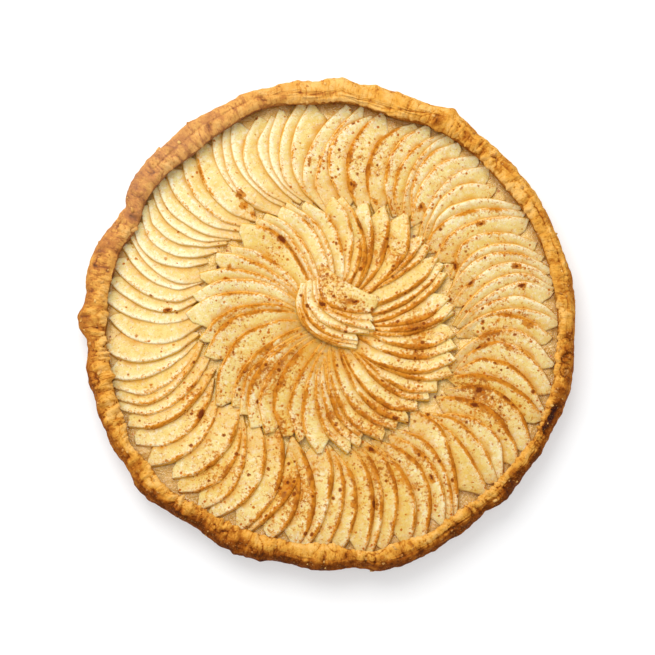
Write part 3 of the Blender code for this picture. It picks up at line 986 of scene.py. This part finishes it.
def crust_section(out, lip, top):
    """Points of the crust's section, from under the tart round to its floor."""
    shoulder = out - SHOULDER_INSET
    underside = [(HIDDEN_RADIUS, 0.0), (out - 20.0 * MM, 0.0), (out - 8.0 * MM, 0.0)]
    wall = [
        (out - 3.4 * MM, 1.8 * MM),
        (out - 0.6 * MM, 7.0 * MM),
        (out + 0.3 * MM, 13.0 * MM),
        (out - 0.4 * MM, 18.0 * MM),
    ]
    crown = []
    for step in range(9):
        q = step / 8.0
        dip = 2.4 * MM * (1.0 - q) ** 3 + LIP_DROP * q**4
        crown.append((shoulder + (lip - shoulder) * q, top - dip))
    inside = [
        (lip + 0.2 * MM, top - 4.8 * MM),
        (lip + 0.5 * MM, top - 6.4 * MM),
        (lip + 0.2 * MM, COMPOTE_LEVEL),
        (lip + 0.4 * MM, 6.0 * MM),
        (lip - 6.0 * MM, CRUST_FLOOR),
        (lip - 20.0 * MM, CRUST_FLOOR),
    ]
    return underside, wall, crown, inside


def crust_rows():
    """Places along the section's points, close together on the crown."""
    ends = (0, WALL_AT, CROWN_AT, INSIDE_AT, SECTION_END)
    counts = (UNDERSIDE_ROWS, WALL_ROWS, CROWN_ROWS, INSIDE_ROWS)
    rows = [0.0]
    for first, last, count in zip(ends, ends[1:], counts):
        rows += [first + (last - first) * (i + 1) / count for i in range(count)]
    return rows


def read_section(points, place):
    """Read a smooth curve through the section's points."""
    last = len(points) - 1
    first = min(int(place), last - 1)
    near = [points[min(max(first + k, 0), last)] for k in (-1, 0, 1, 2)]
    t = place - first
    return tuple(spline(*(point[axis] for point in near), t) for axis in (0, 1))


def crust_skin(turn, q, place, rim, crimps):
    """How far the crust's skin stands out at a place, and how brown it is there, with painted shade in
    its hollows and under the lip.
    """
    seam, fold, outer_brown, lip_brown, leaves, sheets, wrinkles = rim
    x, y, height = place
    on_crown = smooth(-0.15, 0.05, q) * smooth(1.45, 1.15, q)

    # The fold between the outer roll and the lip's roll
    middle = seam + 0.06 * ripple(turn, 0.0, 9.0 * MM, 3.0) + 0.03 * ripple(turn, 0.0, 2.4 * MM, 7.0)
    if q < middle:
        roll = (q + 0.45) / (middle + 0.45)
    else:
        roll = (q - middle) / (1.15 - middle)
    roll = math.sin(math.pi * min(max(roll, 0.0), 1.0)) ** 0.6
    depth = fold * MM * max(0.7 + 0.7 * ripple(turn, 0.0, 7.0 * MM, 12.0), 0.2)
    out = depth * (roll - 0.8) * on_crown

    # Folds pressed across the lip
    across = smooth(middle - 0.15, middle + 0.15, q) * smooth(1.5, 1.2, q)
    pressed = 0.0
    for away, deep, half_width in crimps:
        lean = abs(away + 1.3 * (q - 0.6) * math.sin(9.0 * deep / MM))
        pressed += deep * math.exp(-((lean / half_width) ** 1.3)) * across
    out -= pressed

    # Wrinkles
    bent = turn + 0.020 * ripple(turn, 6.0 * MM * q, 9.0 * MM, 9.0) + 0.010 * q
    patch = smooth(-0.35, 0.35, ripple(turn, 5.0 * MM * q, 12.0 * MM, 11.0))
    ridge = abs(ripple(bent, 4.4 * MM * q, 4.4 * MM, 5.0))
    fine = abs(ripple(bent, 4.0 * MM * q, 2.0 * MM, 15.0))
    skin = 1.7 * wrinkles * MM * on_crown * (0.25 + 0.75 * patch)
    out += skin * (2.0 * ridge - 0.5) + 0.45 * skin * (2.0 * fine - 0.5)

    # Layers by the fold
    layer = abs(ripple(turn, 11.0 * MM * q, 1.3 * MM, 31.0, 0.12))
    by_fold = bell(q - middle, 0.20) + smooth(0.60, 0.85, middle) * smooth(middle, middle + 0.1, q)
    out += sheets * MM * (1.8 * layer - 0.4) * min(by_fold, 1.0) * on_crown
    out += sheets * 0.6 * MM * ripple(turn, 0.0, 2.0 * MM, 21.0) * bell(q - 1.05, 0.18)

    # Layers on the wall
    on_wall = smooth(1.5 * MM, 5.0 * MM, height) * smooth(0.12, -0.05, q)
    leaf = height + 1.2 * MM * grainy(x, y, height, 12.0 * MM)
    ledge = abs(ripple(turn, leaf, 1.4 * MM, 41.0, 0.10))
    out += leaves * MM * (1.6 * ledge - 0.3) * on_wall

    # Lumps all over
    above_board = smooth(2.0 * MM, 9.0 * MM, height)
    out += 0.75 * MM * grainy(x, y, height, 9.0 * MM) * above_board
    out += 0.60 * MM * grainy(x, y, height, 3.5 * MM) * above_board
    out += 0.12 * MM * grainy(x, y, height, 1.5 * MM)

    # Browning: the two rolls, then what the folds, wrinkles and layers add, which is painted shade in
    # their hollows, and painted shade on the inside wall under the lip
    border = middle + 0.16 * ripple(turn, 0.0, 6.0 * MM, 51.0) + 0.3 * (0.2 - ridge) * wrinkles
    fade = 0.18 + 0.25 * max(outer_brown - lip_brown, 0.0)
    brown = outer_brown + (lip_brown - outer_brown) * smooth(border - 0.40, border + fade, q)
    parted = max(0.5 + 1.3 * ripple(turn, 0.0, 5.0 * MM, 61.0), 0.0)
    # Painted shade in the fold, deeper where the fold is deeper, and in the pressed folds
    brown += 0.30 * parted * bell(q - middle, 0.05) * min(fold, 1.6) / 1.6 * on_crown
    brown += 0.18 * min(pressed / MM, 1.6)
    # Painted shade in the wrinkles' creases
    brown += 0.52 * wrinkles * on_crown * patch * (bell(ridge, 0.045) - 0.12)
    brown += 0.28 * wrinkles * on_crown * patch * (bell(fine, 0.05) - 0.15)
    # Painted shade between the layers, by the fold and on the wall
    brown += 0.40 * sheets * (0.3 - layer) * min(by_fold, 1.0) * on_crown
    brown += 0.50 * leaves * (0.3 - ledge) * on_wall
    brown += 0.16 * grainy(x, y, height, 14.0 * MM) + 0.18 * grainy(x, y, height, 5.0 * MM)
    brown -= 0.08 * smooth(0.55, 0.9, q) * smooth(1.3, 1.0, q)
    # Painted shade on the inside wall under the lip
    brown += 0.30 * smooth(1.15, 1.6, q)
    brown = min(brown, DARKEST_BAKED)
    return out, brown


def crust(material):
    """The baked shell, drawn on the CAD shell's outline, lip and crown."""
    outline, lip_ring, crown_ring = shell_rings()
    rows = crust_rows()
    bm = bmesh.new()
    bmesh.ops.create_grid(bm, x_segments=CRUST_COLUMNS, y_segments=len(rows) - 1, size=0.5)
    browning = bm.verts.layers.float.new("browning")
    skin = bm.verts.layers.float_vector.new("skin")
    painted_sheen = bm.verts.layers.float.new("painted_sheen")
    verts = list(bm.verts)
    low, high = cad_box
    width = CRUST_COLUMNS + 1
    for column in range(width):
        angle = 360.0 * column / CRUST_COLUMNS
        turn = math.radians(angle)
        out = around(outline, angle)
        for place, stand, half_width in BUMPS:
            out += stand * MM * bell(degrees_apart(angle, place), half_width)
        lip = around(lip_ring, angle)
        top = around(crown_ring, angle) - CROWN_MARGIN
        rim = rim_row(angle)
        crimps = []
        for place, deep, half_width in CRIMPS:
            away = degrees_apart(angle, place)
            if abs(away) < 6.0 * half_width:
                crimps.append((away, deep, half_width))
        scorches = []
        for place, half_width, where, strength in SCORCHES:
            scorches.append((bell(degrees_apart(angle, place), half_width) * strength, where))
        points = [point for part in crust_section(out, lip, top) for point in part]
        section = [read_section(points, place) for place in rows]
        shoulder = out - SHOULDER_INSET
        for row, (radius, height) in enumerate(section):
            before = section[max(row - 1, 0)]
            after = section[min(row + 1, len(rows) - 1)]
            tangent = Vector((after[0] - before[0], after[1] - before[1])).normalized()
            q = (shoulder - radius) / (shoulder - lip)
            if rows[row] < CROWN_AT:
                q = min(q, 0.0) - 0.3 * (CROWN_AT - rows[row])
            if rows[row] > INSIDE_AT:
                q = 1.0 + 0.3 * (rows[row] - INSIDE_AT)
            place = (radius * math.cos(turn), radius * math.sin(turn), height)
            stand, brown = crust_skin(turn, q, place, rim, crimps)
            for strength, where in scorches:
                brown += strength * bell(q - where, 0.3)
            if not WALL_AT < rows[row] < HIDDEN_AT:
                stand = 0.0
            radius += stand * tangent.y
            height = max(height - stand * tangent.x, 0.0)
            vert = verts[row * width + column]
            vert.co.x = min(max(radius * math.cos(turn), low.x), high.x)
            vert.co.y = min(max(radius * math.sin(turn), low.y), high.y)
            vert.co.z = min(height, high.z)
            vert[browning] = UNDERSIDE_BROWN if rows[row] < WALL_AT else brown
            vert[skin] = Vector((math.cos(turn), math.sin(turn), 0.0)) * RIM_RADIUS
            vert[skin].z = 11.0 * MM * q
            # Painted sheen on the side towards the window
            vert[painted_sheen] = bell(degrees_apart(angle, SHEEN_SIDE), SHEEN_WIDTH)
    close_up(bm)
    return finish_piece("crust", bm, material, "root", "pastry", "pastry_shell")


# ---------------------------------------------------------------- compote


def compote(material):
    """The bed of compote, level with its CAD solid and lumpy on top."""
    _, lip_ring, _ = shell_rings()
    bm = bmesh.new()
    bmesh.ops.create_grid(bm, x_segments=COMPOTE_COLUMNS, y_segments=COMPOTE_ROWS, size=0.5)
    deep = bm.verts.layers.float.new("deep")
    width = COMPOTE_COLUMNS + 1
    for index, vert in enumerate(list(bm.verts)):
        row, column = divmod(index, width)
        angle = 360.0 * column / COMPOTE_COLUMNS
        turn = math.radians(angle)
        edge = around(lip_ring, angle) + 1.2 * MM
        if row < 2:
            radius = (HIDDEN_RADIUS, edge - 6.0 * MM)[row]
            height = 4.0 * MM
        else:
            radius = edge * (1.0 - 0.97 * (row - 2) / (COMPOTE_ROWS - 2))
            x = radius * math.cos(turn)
            y = radius * math.sin(turn)
            height = COMPOTE_LEVEL - 0.2 * MM
            height += 1.1 * MM * grainy(x, y, 0.0, 7.0 * MM) + 0.6 * MM * grainy(x, y, 4.0, 3.0 * MM)
            height += 0.25 * MM * grainy(x, y, 8.0, 1.6 * MM)
        vert.co = (radius * math.cos(turn), radius * math.sin(turn), height)
        # The deep reading: painted shadow under the lip, deepest where the lip overhangs a hollow, and
        # painted shade round the middle fan; by the rim on the baked side, a more golden colour of the
        # compote's own
        hollow = bell(degrees_apart(angle, LIP_SHADOW_SIDE), LIP_SHADOW_WIDTH)
        lip_shadow = smooth(edge - (6.0 + 4.0 * hollow) * MM, edge - 1.0 * MM, radius)
        middle_shade = smooth(70.0 * MM, 45.0 * MM, radius)
        golden = 0.45 * baked_side(vert.co) * smooth(95.0 * MM, 112.0 * MM, radius)
        vert[deep] = max((0.70 + 0.3 * hollow) * lip_shadow, 0.75 * middle_shade, golden)
    close_up(bm)
    return finish_piece("compote_bed", bm, material, "root", "compote", "compote")


# ---------------------------------------------------------------- apple slices


def on_tart(angle, radius):
    """A place on the fruit, from an angle and a radius."""
    return FRUIT_CENTRE + polar(angle, radius, 0.0)


def baked_side(point):
    """How far a place lies towards the side that baked darker, from 0 to 1."""
    return smooth(-30.0 * MM, 70.0 * MM, point.dot(arc_direction(0.0, BAKED_SIDE)))


def unspiced(point):
    """How far a place is in the pale part of the outer ring, with little cinnamon."""
    in_sector = bell(degrees_apart(bearing(point), PALE_FRUIT), PALE_FRUIT_WIDTH)
    return in_sector * smooth(62.0 * MM, 80.0 * MM, point.length)


def close_to(point, angle, radius, width):
    """1 at an angle and a radius in mm, fading over a width in mm."""
    away = (point.xy - on_tart(angle, radius * MM).xy).length
    return bell(away, width * MM)


def cinnamon_at(point):
    """How much cinnamon lies at a place, from 0 to about 1."""
    total = CINNAMON_EVERYWHERE + 0.16 * baked_side(point)
    for angle, radius, spread, strength in CINNAMON:
        total += strength * close_to(point, angle, radius, spread)
    total *= 1.0 - 0.75 * unspiced(point)
    for angle, radius, half_width in CLOTS:
        total += CLOT_STRENGTH * close_to(point, angle, radius, half_width)
    return total


class Slice:
    """One apple slice: the run of its edge and of its cored side, and its own traits."""

    def __init__(self, widest, outer_tip, inner_tip, browned, chance):
        self.inner = inner_tip
        self.outer = outer_tip
        chord = outer_tip - inner_tip
        self.length = chord.length
        self.run = chord.normalized()
        reach = widest - inner_tip
        self.apex = min(max(reach.dot(self.run) / self.length, 0.25), 0.75)
        swell = reach - self.run * reach.dot(self.run)
        self.bulge = swell.length
        self.out = swell.normalized()
        self.browned = browned
        self.tone = chance.uniform(0.18, 0.52)
        self.crest = CREST_HEIGHT * chance.uniform(0.88, 1.10)
        self.lean = chance.uniform(-0.4, 0.4) * MM
        self.climb = 0.0
        self.thickness = SLICE_THICKNESS * chance.uniform(0.9, 1.1)
        self.core = CORE_DEPTH * chance.uniform(0.8, 1.3)
        self.cut = (TIP_CUT * chance.uniform(0.2, 0.6), TIP_CUT * chance.uniform(0.5, 1.8))
        self.slants = (chance.uniform(0.3, 0.9), chance.uniform(0.5, 1.2))
        self.facets = chance.uniform(0.35, 0.95)
        self.steepest = STEEPEST
        self.view = 9.0 * MM
        self.dusted = 0.0
        self.shaded = next(shade for reach, shade in SHADES if outer_tip.length > reach)
        corners = [0.0, 0.2, 0.42, 0.62, 0.82, 1.0]
        self.corners = [c + (chance.uniform(-0.06, 0.06) if 0.0 < c < 1.0 else 0.0) for c in corners]
        self.seed = chance.uniform(0.0, 100.0)
        self.gaps = None
        self.measure_depths()

    def measure_depths(self):
        """Note how deep the slice is at even steps along it, by its own shape."""
        self.depths = [self.own_depth(step / DEPTH_STEPS) for step in range(DEPTH_STEPS + 1)]

    def lie_open(self):
        """Lie flat with the cored side in view, almost straight."""
        self.steepest = TOP_STEEPEST
        self.core = -2.0 * MM
        self.cut = (9.5 * MM, 0.6 * MM)
        self.slants = (0.28, 0.3)
        self.tone = 0.30
        self.view = 22.0 * MM
        self.dusted = 0.50
        self.measure_depths()

    def fullness(self, s):
        """How much of the edge's swell is reached at a place along it."""
        reach = self.apex if s < self.apex else 1.0 - self.apex
        return 1.0 - min(abs(s - self.apex) / reach, 1.0) ** 2.2

    def arc(self, s):
        """A place on the smooth edge, from the inner tip at 0 to the outer tip at 1."""
        return self.inner + self.run * (self.length * s) + self.out * (self.bulge * self.fullness(s))

    def edge(self, s):
        """A place on the edge with its flat cuts and small unevenness."""
        smooth_place = self.arc(s)
        for low, high in zip(self.corners, self.corners[1:]):
            if s <= high:
                flat_place = self.arc(low).lerp(self.arc(high), (s - low) / (high - low))
                break
        place = smooth_place.lerp(flat_place, self.facets)
        return place + self.out * (0.35 * MM * grainy(s * self.length, self.seed, 0.0, 6.0 * MM))

    def own_depth(self, s):
        """How far back the cored side lies from the edge, by the slice's own shape."""
        cut = self.cut[0] + (self.cut[1] - self.cut[0]) * s
        hollow = 1.0 - abs(2.0 * s - 1.0) ** 2.5
        return self.bulge * self.fullness(s) + cut + self.core * hollow

    def tuck_under(self, above):
        """Reach far enough back to lie well under the slice above."""
        samples = [above.edge(step / 24.0) for step in range(25)]
        self.gaps = []
        for step in range(DEPTH_STEPS + 1):
            s = step / DEPTH_STEPS
            here = self.edge(s)
            gap = min((here - other).length for other in samples)
            self.gaps.append(gap)
            own = self.depths[step]
            wanted = min(max(own, gap + UNDERLAP), DEEPEST_CORE)
            self.depths[step] = own + (wanted - own) * smooth(0.0, 0.2, s) * smooth(1.0, 0.84, s)

    def read(self, values, s):
        """Read a run of values along the slice."""
        place = min(max(s, 0.0), 1.0) * DEPTH_STEPS
        first = min(int(place), DEPTH_STEPS - 1)
        return values[first] + (values[first + 1] - values[first]) * (place - first)

    def cored(self, s):
        """A place on the cored side."""
        return self.edge(s) - self.out * self.read(self.depths, s)

    def visible(self, s):
        """How wide the slice shows beside the slice above."""
        return self.read(self.gaps, s) if self.gaps else self.view


def no_reach(tip):
    """The middle fan's tips are all in view."""
    return 0.0


def inner_reach(tip):
    """How far an inner ring's outer tip reaches on."""
    return INNER_REACH


def outer_reach(tip):
    """How far an outer tip reaches on. On one side the tips stop short of the lip."""
    open_here = bell(degrees_apart(bearing(tip), OPEN_SIDE), OPEN_WIDTH)
    return OUTER_REACH + (OPEN_REACH - OUTER_REACH) * open_here


def not_hidden(widest, inner):
    """The middle fan hides no tips."""
    return Vector((0.0, 0.0, 0.0))


def straight_on(widest, inner):
    """An outer ring's slice runs straight on under the inner ring."""
    return (inner - widest).normalized() * OUTER_TUCK


def to_the_middle(widest, inner):
    """An inner ring's slice turns in under the middle fan."""
    return ((inner - widest).normalized() - inner.normalized()) * INNER_TUCK


def make_slices(places, hide, reach, chance):
    """Make slices from three places on each edge and how brown the edge is."""
    made = []
    for widest, outer, inner, browned in places:
        hidden = inner + hide(widest, inner)
        tip = outer + (outer - widest).normalized() * reach(outer)
        made.append(Slice(widest, tip, hidden, browned, chance))
    return made


def by_angle(angle, radius):
    """A place in the rings' tables, from an angle and a radius in mm."""
    return on_tart(angle, radius * MM)


def by_sides(x, y):
    """A place in the middle fan's table, from X and Y in mm."""
    return Vector((x * MM, y * MM, 0.0)) + FRUIT_CENTRE


def read_edges(rows, spot):
    """Read a table of slices: three places on each edge, and how brown it is."""
    return [(*(spot(row[i], row[i + 1]) for i in (0, 2, 4)), row[6]) for row in rows]


def ring_slices(fans, hide, reach, climb, chance):
    """The slices of a ring, in order, from its table of places."""
    rows = [row for fan in fans for row in fan]
    made = make_slices(read_edges(rows, by_angle), hide, reach, chance)
    for number, one in enumerate(made):
        one.climb = climb
        one.tuck_under(made[number - 1])
    return made


def middle_slices(chance):
    """The slices of the middle fan. The top one lies open and shows whole."""
    made = make_slices(read_edges(CENTRE_FAN, by_sides), not_hidden, no_reach, chance)
    for one in made:
        one.slants = (chance.uniform(0.5, 1.1), 0.6)
        one.cut = (TIP_CUT * chance.uniform(0.4, 1.1), one.cut[1])
        one.tone = 0.16
    made[0].lie_open()
    for above, one in zip(made, made[1:]):
        one.tuck_under(above)
    return made


def add_slice(bm, layers, one, level, number):
    """Lay one slice down. It leans on the slice below, under the slice above."""
    before = set(bm.verts)
    bmesh.ops.create_grid(bm, x_segments=len(ACROSS) - 1, y_segments=ALONG, size=0.5)
    sheet = [vert for vert in bm.verts if vert not in before]
    made = bmesh.ops.extrude_face_region(bm, geom=faces_of(sheet))
    for verts, is_under in ((sheet, False), (verts_of(made["geom"]), True)):
        for vert in verts:
            s = 0.5 - 0.5 * math.cos(math.pi * (vert.co.y + 0.5))
            column = round((vert.co.x + 0.5) * (len(ACROSS) - 1))
            lay_point(vert, is_under, layers, one, s, ACROSS[column], level, number)


def lay_point(vert, is_under, layers, one, s, across, level, number):
    """Move one point of a slice to its place and note its colours."""
    edge = one.edge(s)
    cored = one.cored(s)
    place = cored.lerp(edge, across)
    back = (edge - cored).length * (1.0 - across)
    slant = one.slants[0] * smooth(0.25, 0.0, s) - one.slants[1] * smooth(0.75, 1.0, s)
    place += one.run * (slant * back)
    at_end = smooth(0.82, 1.0, s) + smooth(0.18, 0.0, s)
    place += one.run * (0.9 * MM * grainy(back, one.seed, s, 2.2 * MM) * at_end)
    width = one.visible(s)
    span = math.sin(math.pi * s) ** 0.7
    crest = one.crest * (0.32 + 0.68 * span) + one.lean * (2.0 * s - 1.0)
    foot = FOOT_HEIGHT * (0.5 + 0.5 * span)
    slope = (crest - foot) / max(width, NARROWEST_BAND)
    slope = min(max(slope, FLATTEST), one.steepest)
    slope = min(slope, (one.thickness - 0.3 * MM) / max(width, NARROWEST_BAND))
    height = crest - slope * back + one.climb * smooth(*CLIMB_FIELD, place.length)
    height += 0.30 * MM * grainy(s * one.length, back, one.seed, 8.0 * MM)
    height += 0.10 * MM * grainy(s * one.length, back, one.seed, 3.0 * MM)
    height -= 0.40 * MM * smooth(0.95, 1.0, across)
    if is_under:
        height -= one.thickness + SKIRT * smooth(0.9, 1.0, across)
        place += one.out * (WALL_SPREAD * smooth(0.95, 1.0, across))
        place += one.run * (0.5 * MM * (smooth(0.96, 1.0, s) - smooth(0.04, 0.0, s)))
    vert.co = Vector((place.x, place.y, level + max(height, LOWEST_POINT)))

    # The readings: browned and powdered near the edge, a painted highlight along the edge, and painted
    # shade beside the slice above
    near = smooth(3.7 * MM, 0.4 * MM, back) * smooth(-0.4 * MM, 0.4 * MM, back)
    line = smooth(1.9 * MM, 0.4 * MM, back)
    window = smooth(0.03, 0.25, s) * smooth(1.0, 0.7, s)
    patch = 0.6 + 0.9 * grainy(s * one.length, one.seed, 8.0, 9.0 * MM)
    inner = smooth(85.0 * MM, 70.0 * MM, place.length) * smooth(20.0 * MM, 48.0 * MM, place.length)
    baked = one.browned + 0.22 * max(baked_side(place), inner)
    toast = baked * near * window * max(patch, 0.0)
    dusty = cinnamon_at(place) + one.dusted
    # rim marks the band along the edge where the painted highlight lies
    rim = smooth(3.2 * MM, 1.0 * MM, back)
    vert[layers["browning"]] = toast * (0.17 + 1.65 * line) + (0.05 + 0.10 * min(dusty, 1.0)) * near
    vert[layers["cinnamon"]] = dusty * (0.85 + 0.7 * near * max(patch, 0.0)) + 1.5 * toast
    # The foot reading is painted shade: a band beside the edge of the slice above, and the shade of the
    # ring inside
    shadow_of_slice_above = smooth(width - 2.2 * MM, width + 0.2 * MM, back)
    shaded = one.shaded[2] * smooth(one.shaded[1], one.shaded[0], place.length)
    vert[layers["foot"]] = max(0.85 * shadow_of_slice_above * smooth(0.8 * MM, 2.4 * MM, width), shaded)
    vert[layers["tone"]] = one.tone + 0.06 * baked_side(place) - 0.12 * unspiced(place)
    # The crest reading is a painted highlight: it fades towards the tips and is left out where painted
    # shade lies
    highlight_clear_of_tips = 0.25 + 0.75 * smooth(0.02, 0.18, s) * smooth(0.98, 0.82, s)
    vert[layers["crest"]] = 0.75 * rim * highlight_clear_of_tips * (1.0 - 0.25 * baked) * (1.0 - min(2.0 * shaded, 1.0))
    # The side reading: golden walls, partly their own colour and partly painted light
    vert[layers["side"]] = 1.0 if is_under else 0.45 * smooth(0.97, 1.0, across)
    vert[layers["grain"]] = Vector((back, s * one.length, 0.1 * number))


def slice_layers(bm):
    """The readings that the apple's material takes from each point."""
    layers = {name: bm.verts.layers.float.new(name) for name in SLICE_READINGS}
    layers["grain"] = bm.verts.layers.float_vector.new("grain")
    return layers


def lay_piece(name, node, slices, first, level, material):
    """Lay some slices as one piece and round them off. Their numbers start at first."""
    bm = bmesh.new()
    layers = slice_layers(bm)
    for number, one in enumerate(slices, start=first):
        add_slice(bm, layers, one, level, number)
    bmesh.ops.recalc_face_normals(bm, faces=bm.faces)
    piece = finish_piece(name, bm, material, "root", "apple", node)
    soft = piece.modifiers.new("soft", "SUBSURF")
    soft.levels = 1
    soft.render_levels = 1
    return piece


def lay_fans(ring, fans, slices, material):
    """Lay a ring's slices, one piece for each fan."""
    made = []
    first = 0
    for index, fan in enumerate(fans, start=1):
        last = first + len(fan)
        name = f"{ring}_slices_{index:02d}"
        node = f"{ring}_fan_{index:02d}"
        made.append(lay_piece(name, node, slices[first:last], first, COMPOTE_LEVEL, material))
        first = last
    return made


# ---------------------------------------------------------------- grains and flakes


def landing(trees, x, y):
    """The highest point of some surfaces over a place."""
    best = None
    for tree in trees:
        hit = tree.ray_cast(Vector((x, y, 1.0)), Vector((0.0, 0.0, -1.0)))[0]
        if hit and (best is None or hit.z > best.z):
            best = hit
    return best


def inside_box(place):
    """Keep a place inside the tart's box."""
    low, high = cad_box
    return Vector(min(max(place[axis], low[axis]), high[axis]) for axis in range(3))


def add_flake(bm, spot, up, size, chance):
    """A thin curled flake with a ragged outline, laid on a slope."""
    made = bmesh.ops.create_circle(bm, cap_ends=True, cap_tris=True, segments=9, radius=size)
    leaf = made["verts"]
    length = chance.uniform(1.0, 1.9)
    curl = chance.uniform(-0.10, 0.35) / size
    tilt = Vector((chance.uniform(-0.4, 0.4), chance.uniform(-0.4, 0.4), 1.0)) + 1.5 * up
    lay = tilt.to_track_quat("Z", "Y") @ Quaternion((0.0, 0.0, 1.0), chance.uniform(0.0, math.tau))
    for vert in leaf:
        vert.co = vert.co * chance.uniform(0.7, 1.15)
        vert.co.x *= length
        vert.co.z = curl * vert.co.x ** 2 + FLAKE_THICKNESS
    made = bmesh.ops.extrude_face_region(bm, geom=faces_of(leaf))
    lower = verts_of(made["geom"])
    for vert in lower:
        vert.co.z -= FLAKE_THICKNESS
    for vert in leaf + lower:
        vert.co = inside_box(lay @ vert.co + spot)


def flakes(material, rim, chance):
    """Loose flakes of puff pastry on the rim, and one that hangs from its edge."""
    tree = BVHTree.FromObject(rim, bpy.context.evaluated_depsgraph_get())
    bm = bmesh.new()
    angle, radius, height, size = HANGING_FLAKE
    add_flake(bm, polar(angle, radius, height), Vector((0.0, 0.0, 1.0)), size, chance)
    placed = 0
    while placed < FLAKE_COUNT:
        over = polar(chance.uniform(0.0, 360.0), chance.uniform(*FLAKE_FIELD), 1.0)
        hit, up, _, _ = tree.ray_cast(over, Vector((0.0, 0.0, -1.0)))
        if hit is None or hit.z < LOWEST_FLAKE:
            continue
        add_flake(bm, hit, up, FLAKE_SIZE * (0.5 + 1.2 * chance.random() ** 3), chance)
        placed += 1
    bmesh.ops.recalc_face_normals(bm, faces=bm.faces)
    return finish_piece("pastry_flakes", bm, material, "root", "pastry")


def grains(material, pieces, chance):
    """Coarse cinnamon grains, most of them where the powder lies thickest."""
    graph = bpy.context.evaluated_depsgraph_get()
    trees = [BVHTree.FromObject(piece, graph) for piece in pieces]
    bm = bmesh.new()
    placed = 0
    while placed < GRAIN_COUNT:
        spot = on_tart(chance.uniform(0.0, 360.0), GRAIN_FIELD * math.sqrt(chance.random()))
        if chance.random() > cinnamon_at(spot):
            continue
        hit = landing(trees, spot.x, spot.y)
        if hit is None:
            continue
        size = GRAIN_SIZE * (0.6 + 1.3 * chance.random() ** 4)
        made = bmesh.ops.create_icosphere(bm, subdivisions=1, radius=size)
        squash = Vector((chance.uniform(0.7, 1.4), chance.uniform(0.7, 1.4), 0.4))
        for vert in made["verts"]:
            vert.co = vert.co * squash * chance.uniform(0.8, 1.2) + hit
        placed += 1
    return finish_piece("cinnamon_grains", bm, material, "root", "apple")


# ---------------------------------------------------------------- main


def main():
    """Build the scene."""
    camera()
    lights()
    floor()
    bpy.context.scene.view_settings.view_transform = "Standard"
    chance = random.Random(SEED)
    dust = cinnamon_group()
    oven = oven_group()
    relief = relief_group()
    rim = crust(crust_material(oven, relief))
    compote(compote_material(dust, relief))
    flesh = apple_material(dust, oven, relief)
    outer = ring_slices(OUTER_FANS, straight_on, outer_reach, 0.0, chance)
    inner = ring_slices(INNER_FANS, to_the_middle, inner_reach, INNER_CLIMB, chance)
    laid = lay_fans("outer", OUTER_FANS, outer, flesh)
    laid += lay_fans("inner", INNER_FANS, inner, flesh)
    level = COMPOTE_LEVEL + MIDDLE_LIFT
    middle = middle_slices(chance)
    laid.append(lay_piece("middle_slices", "centre_fan", middle, MIDDLE_FIRST, level, flesh))
    grains(powder_material(), laid, chance)
    flakes(flake_material(), rim, chance)


main()
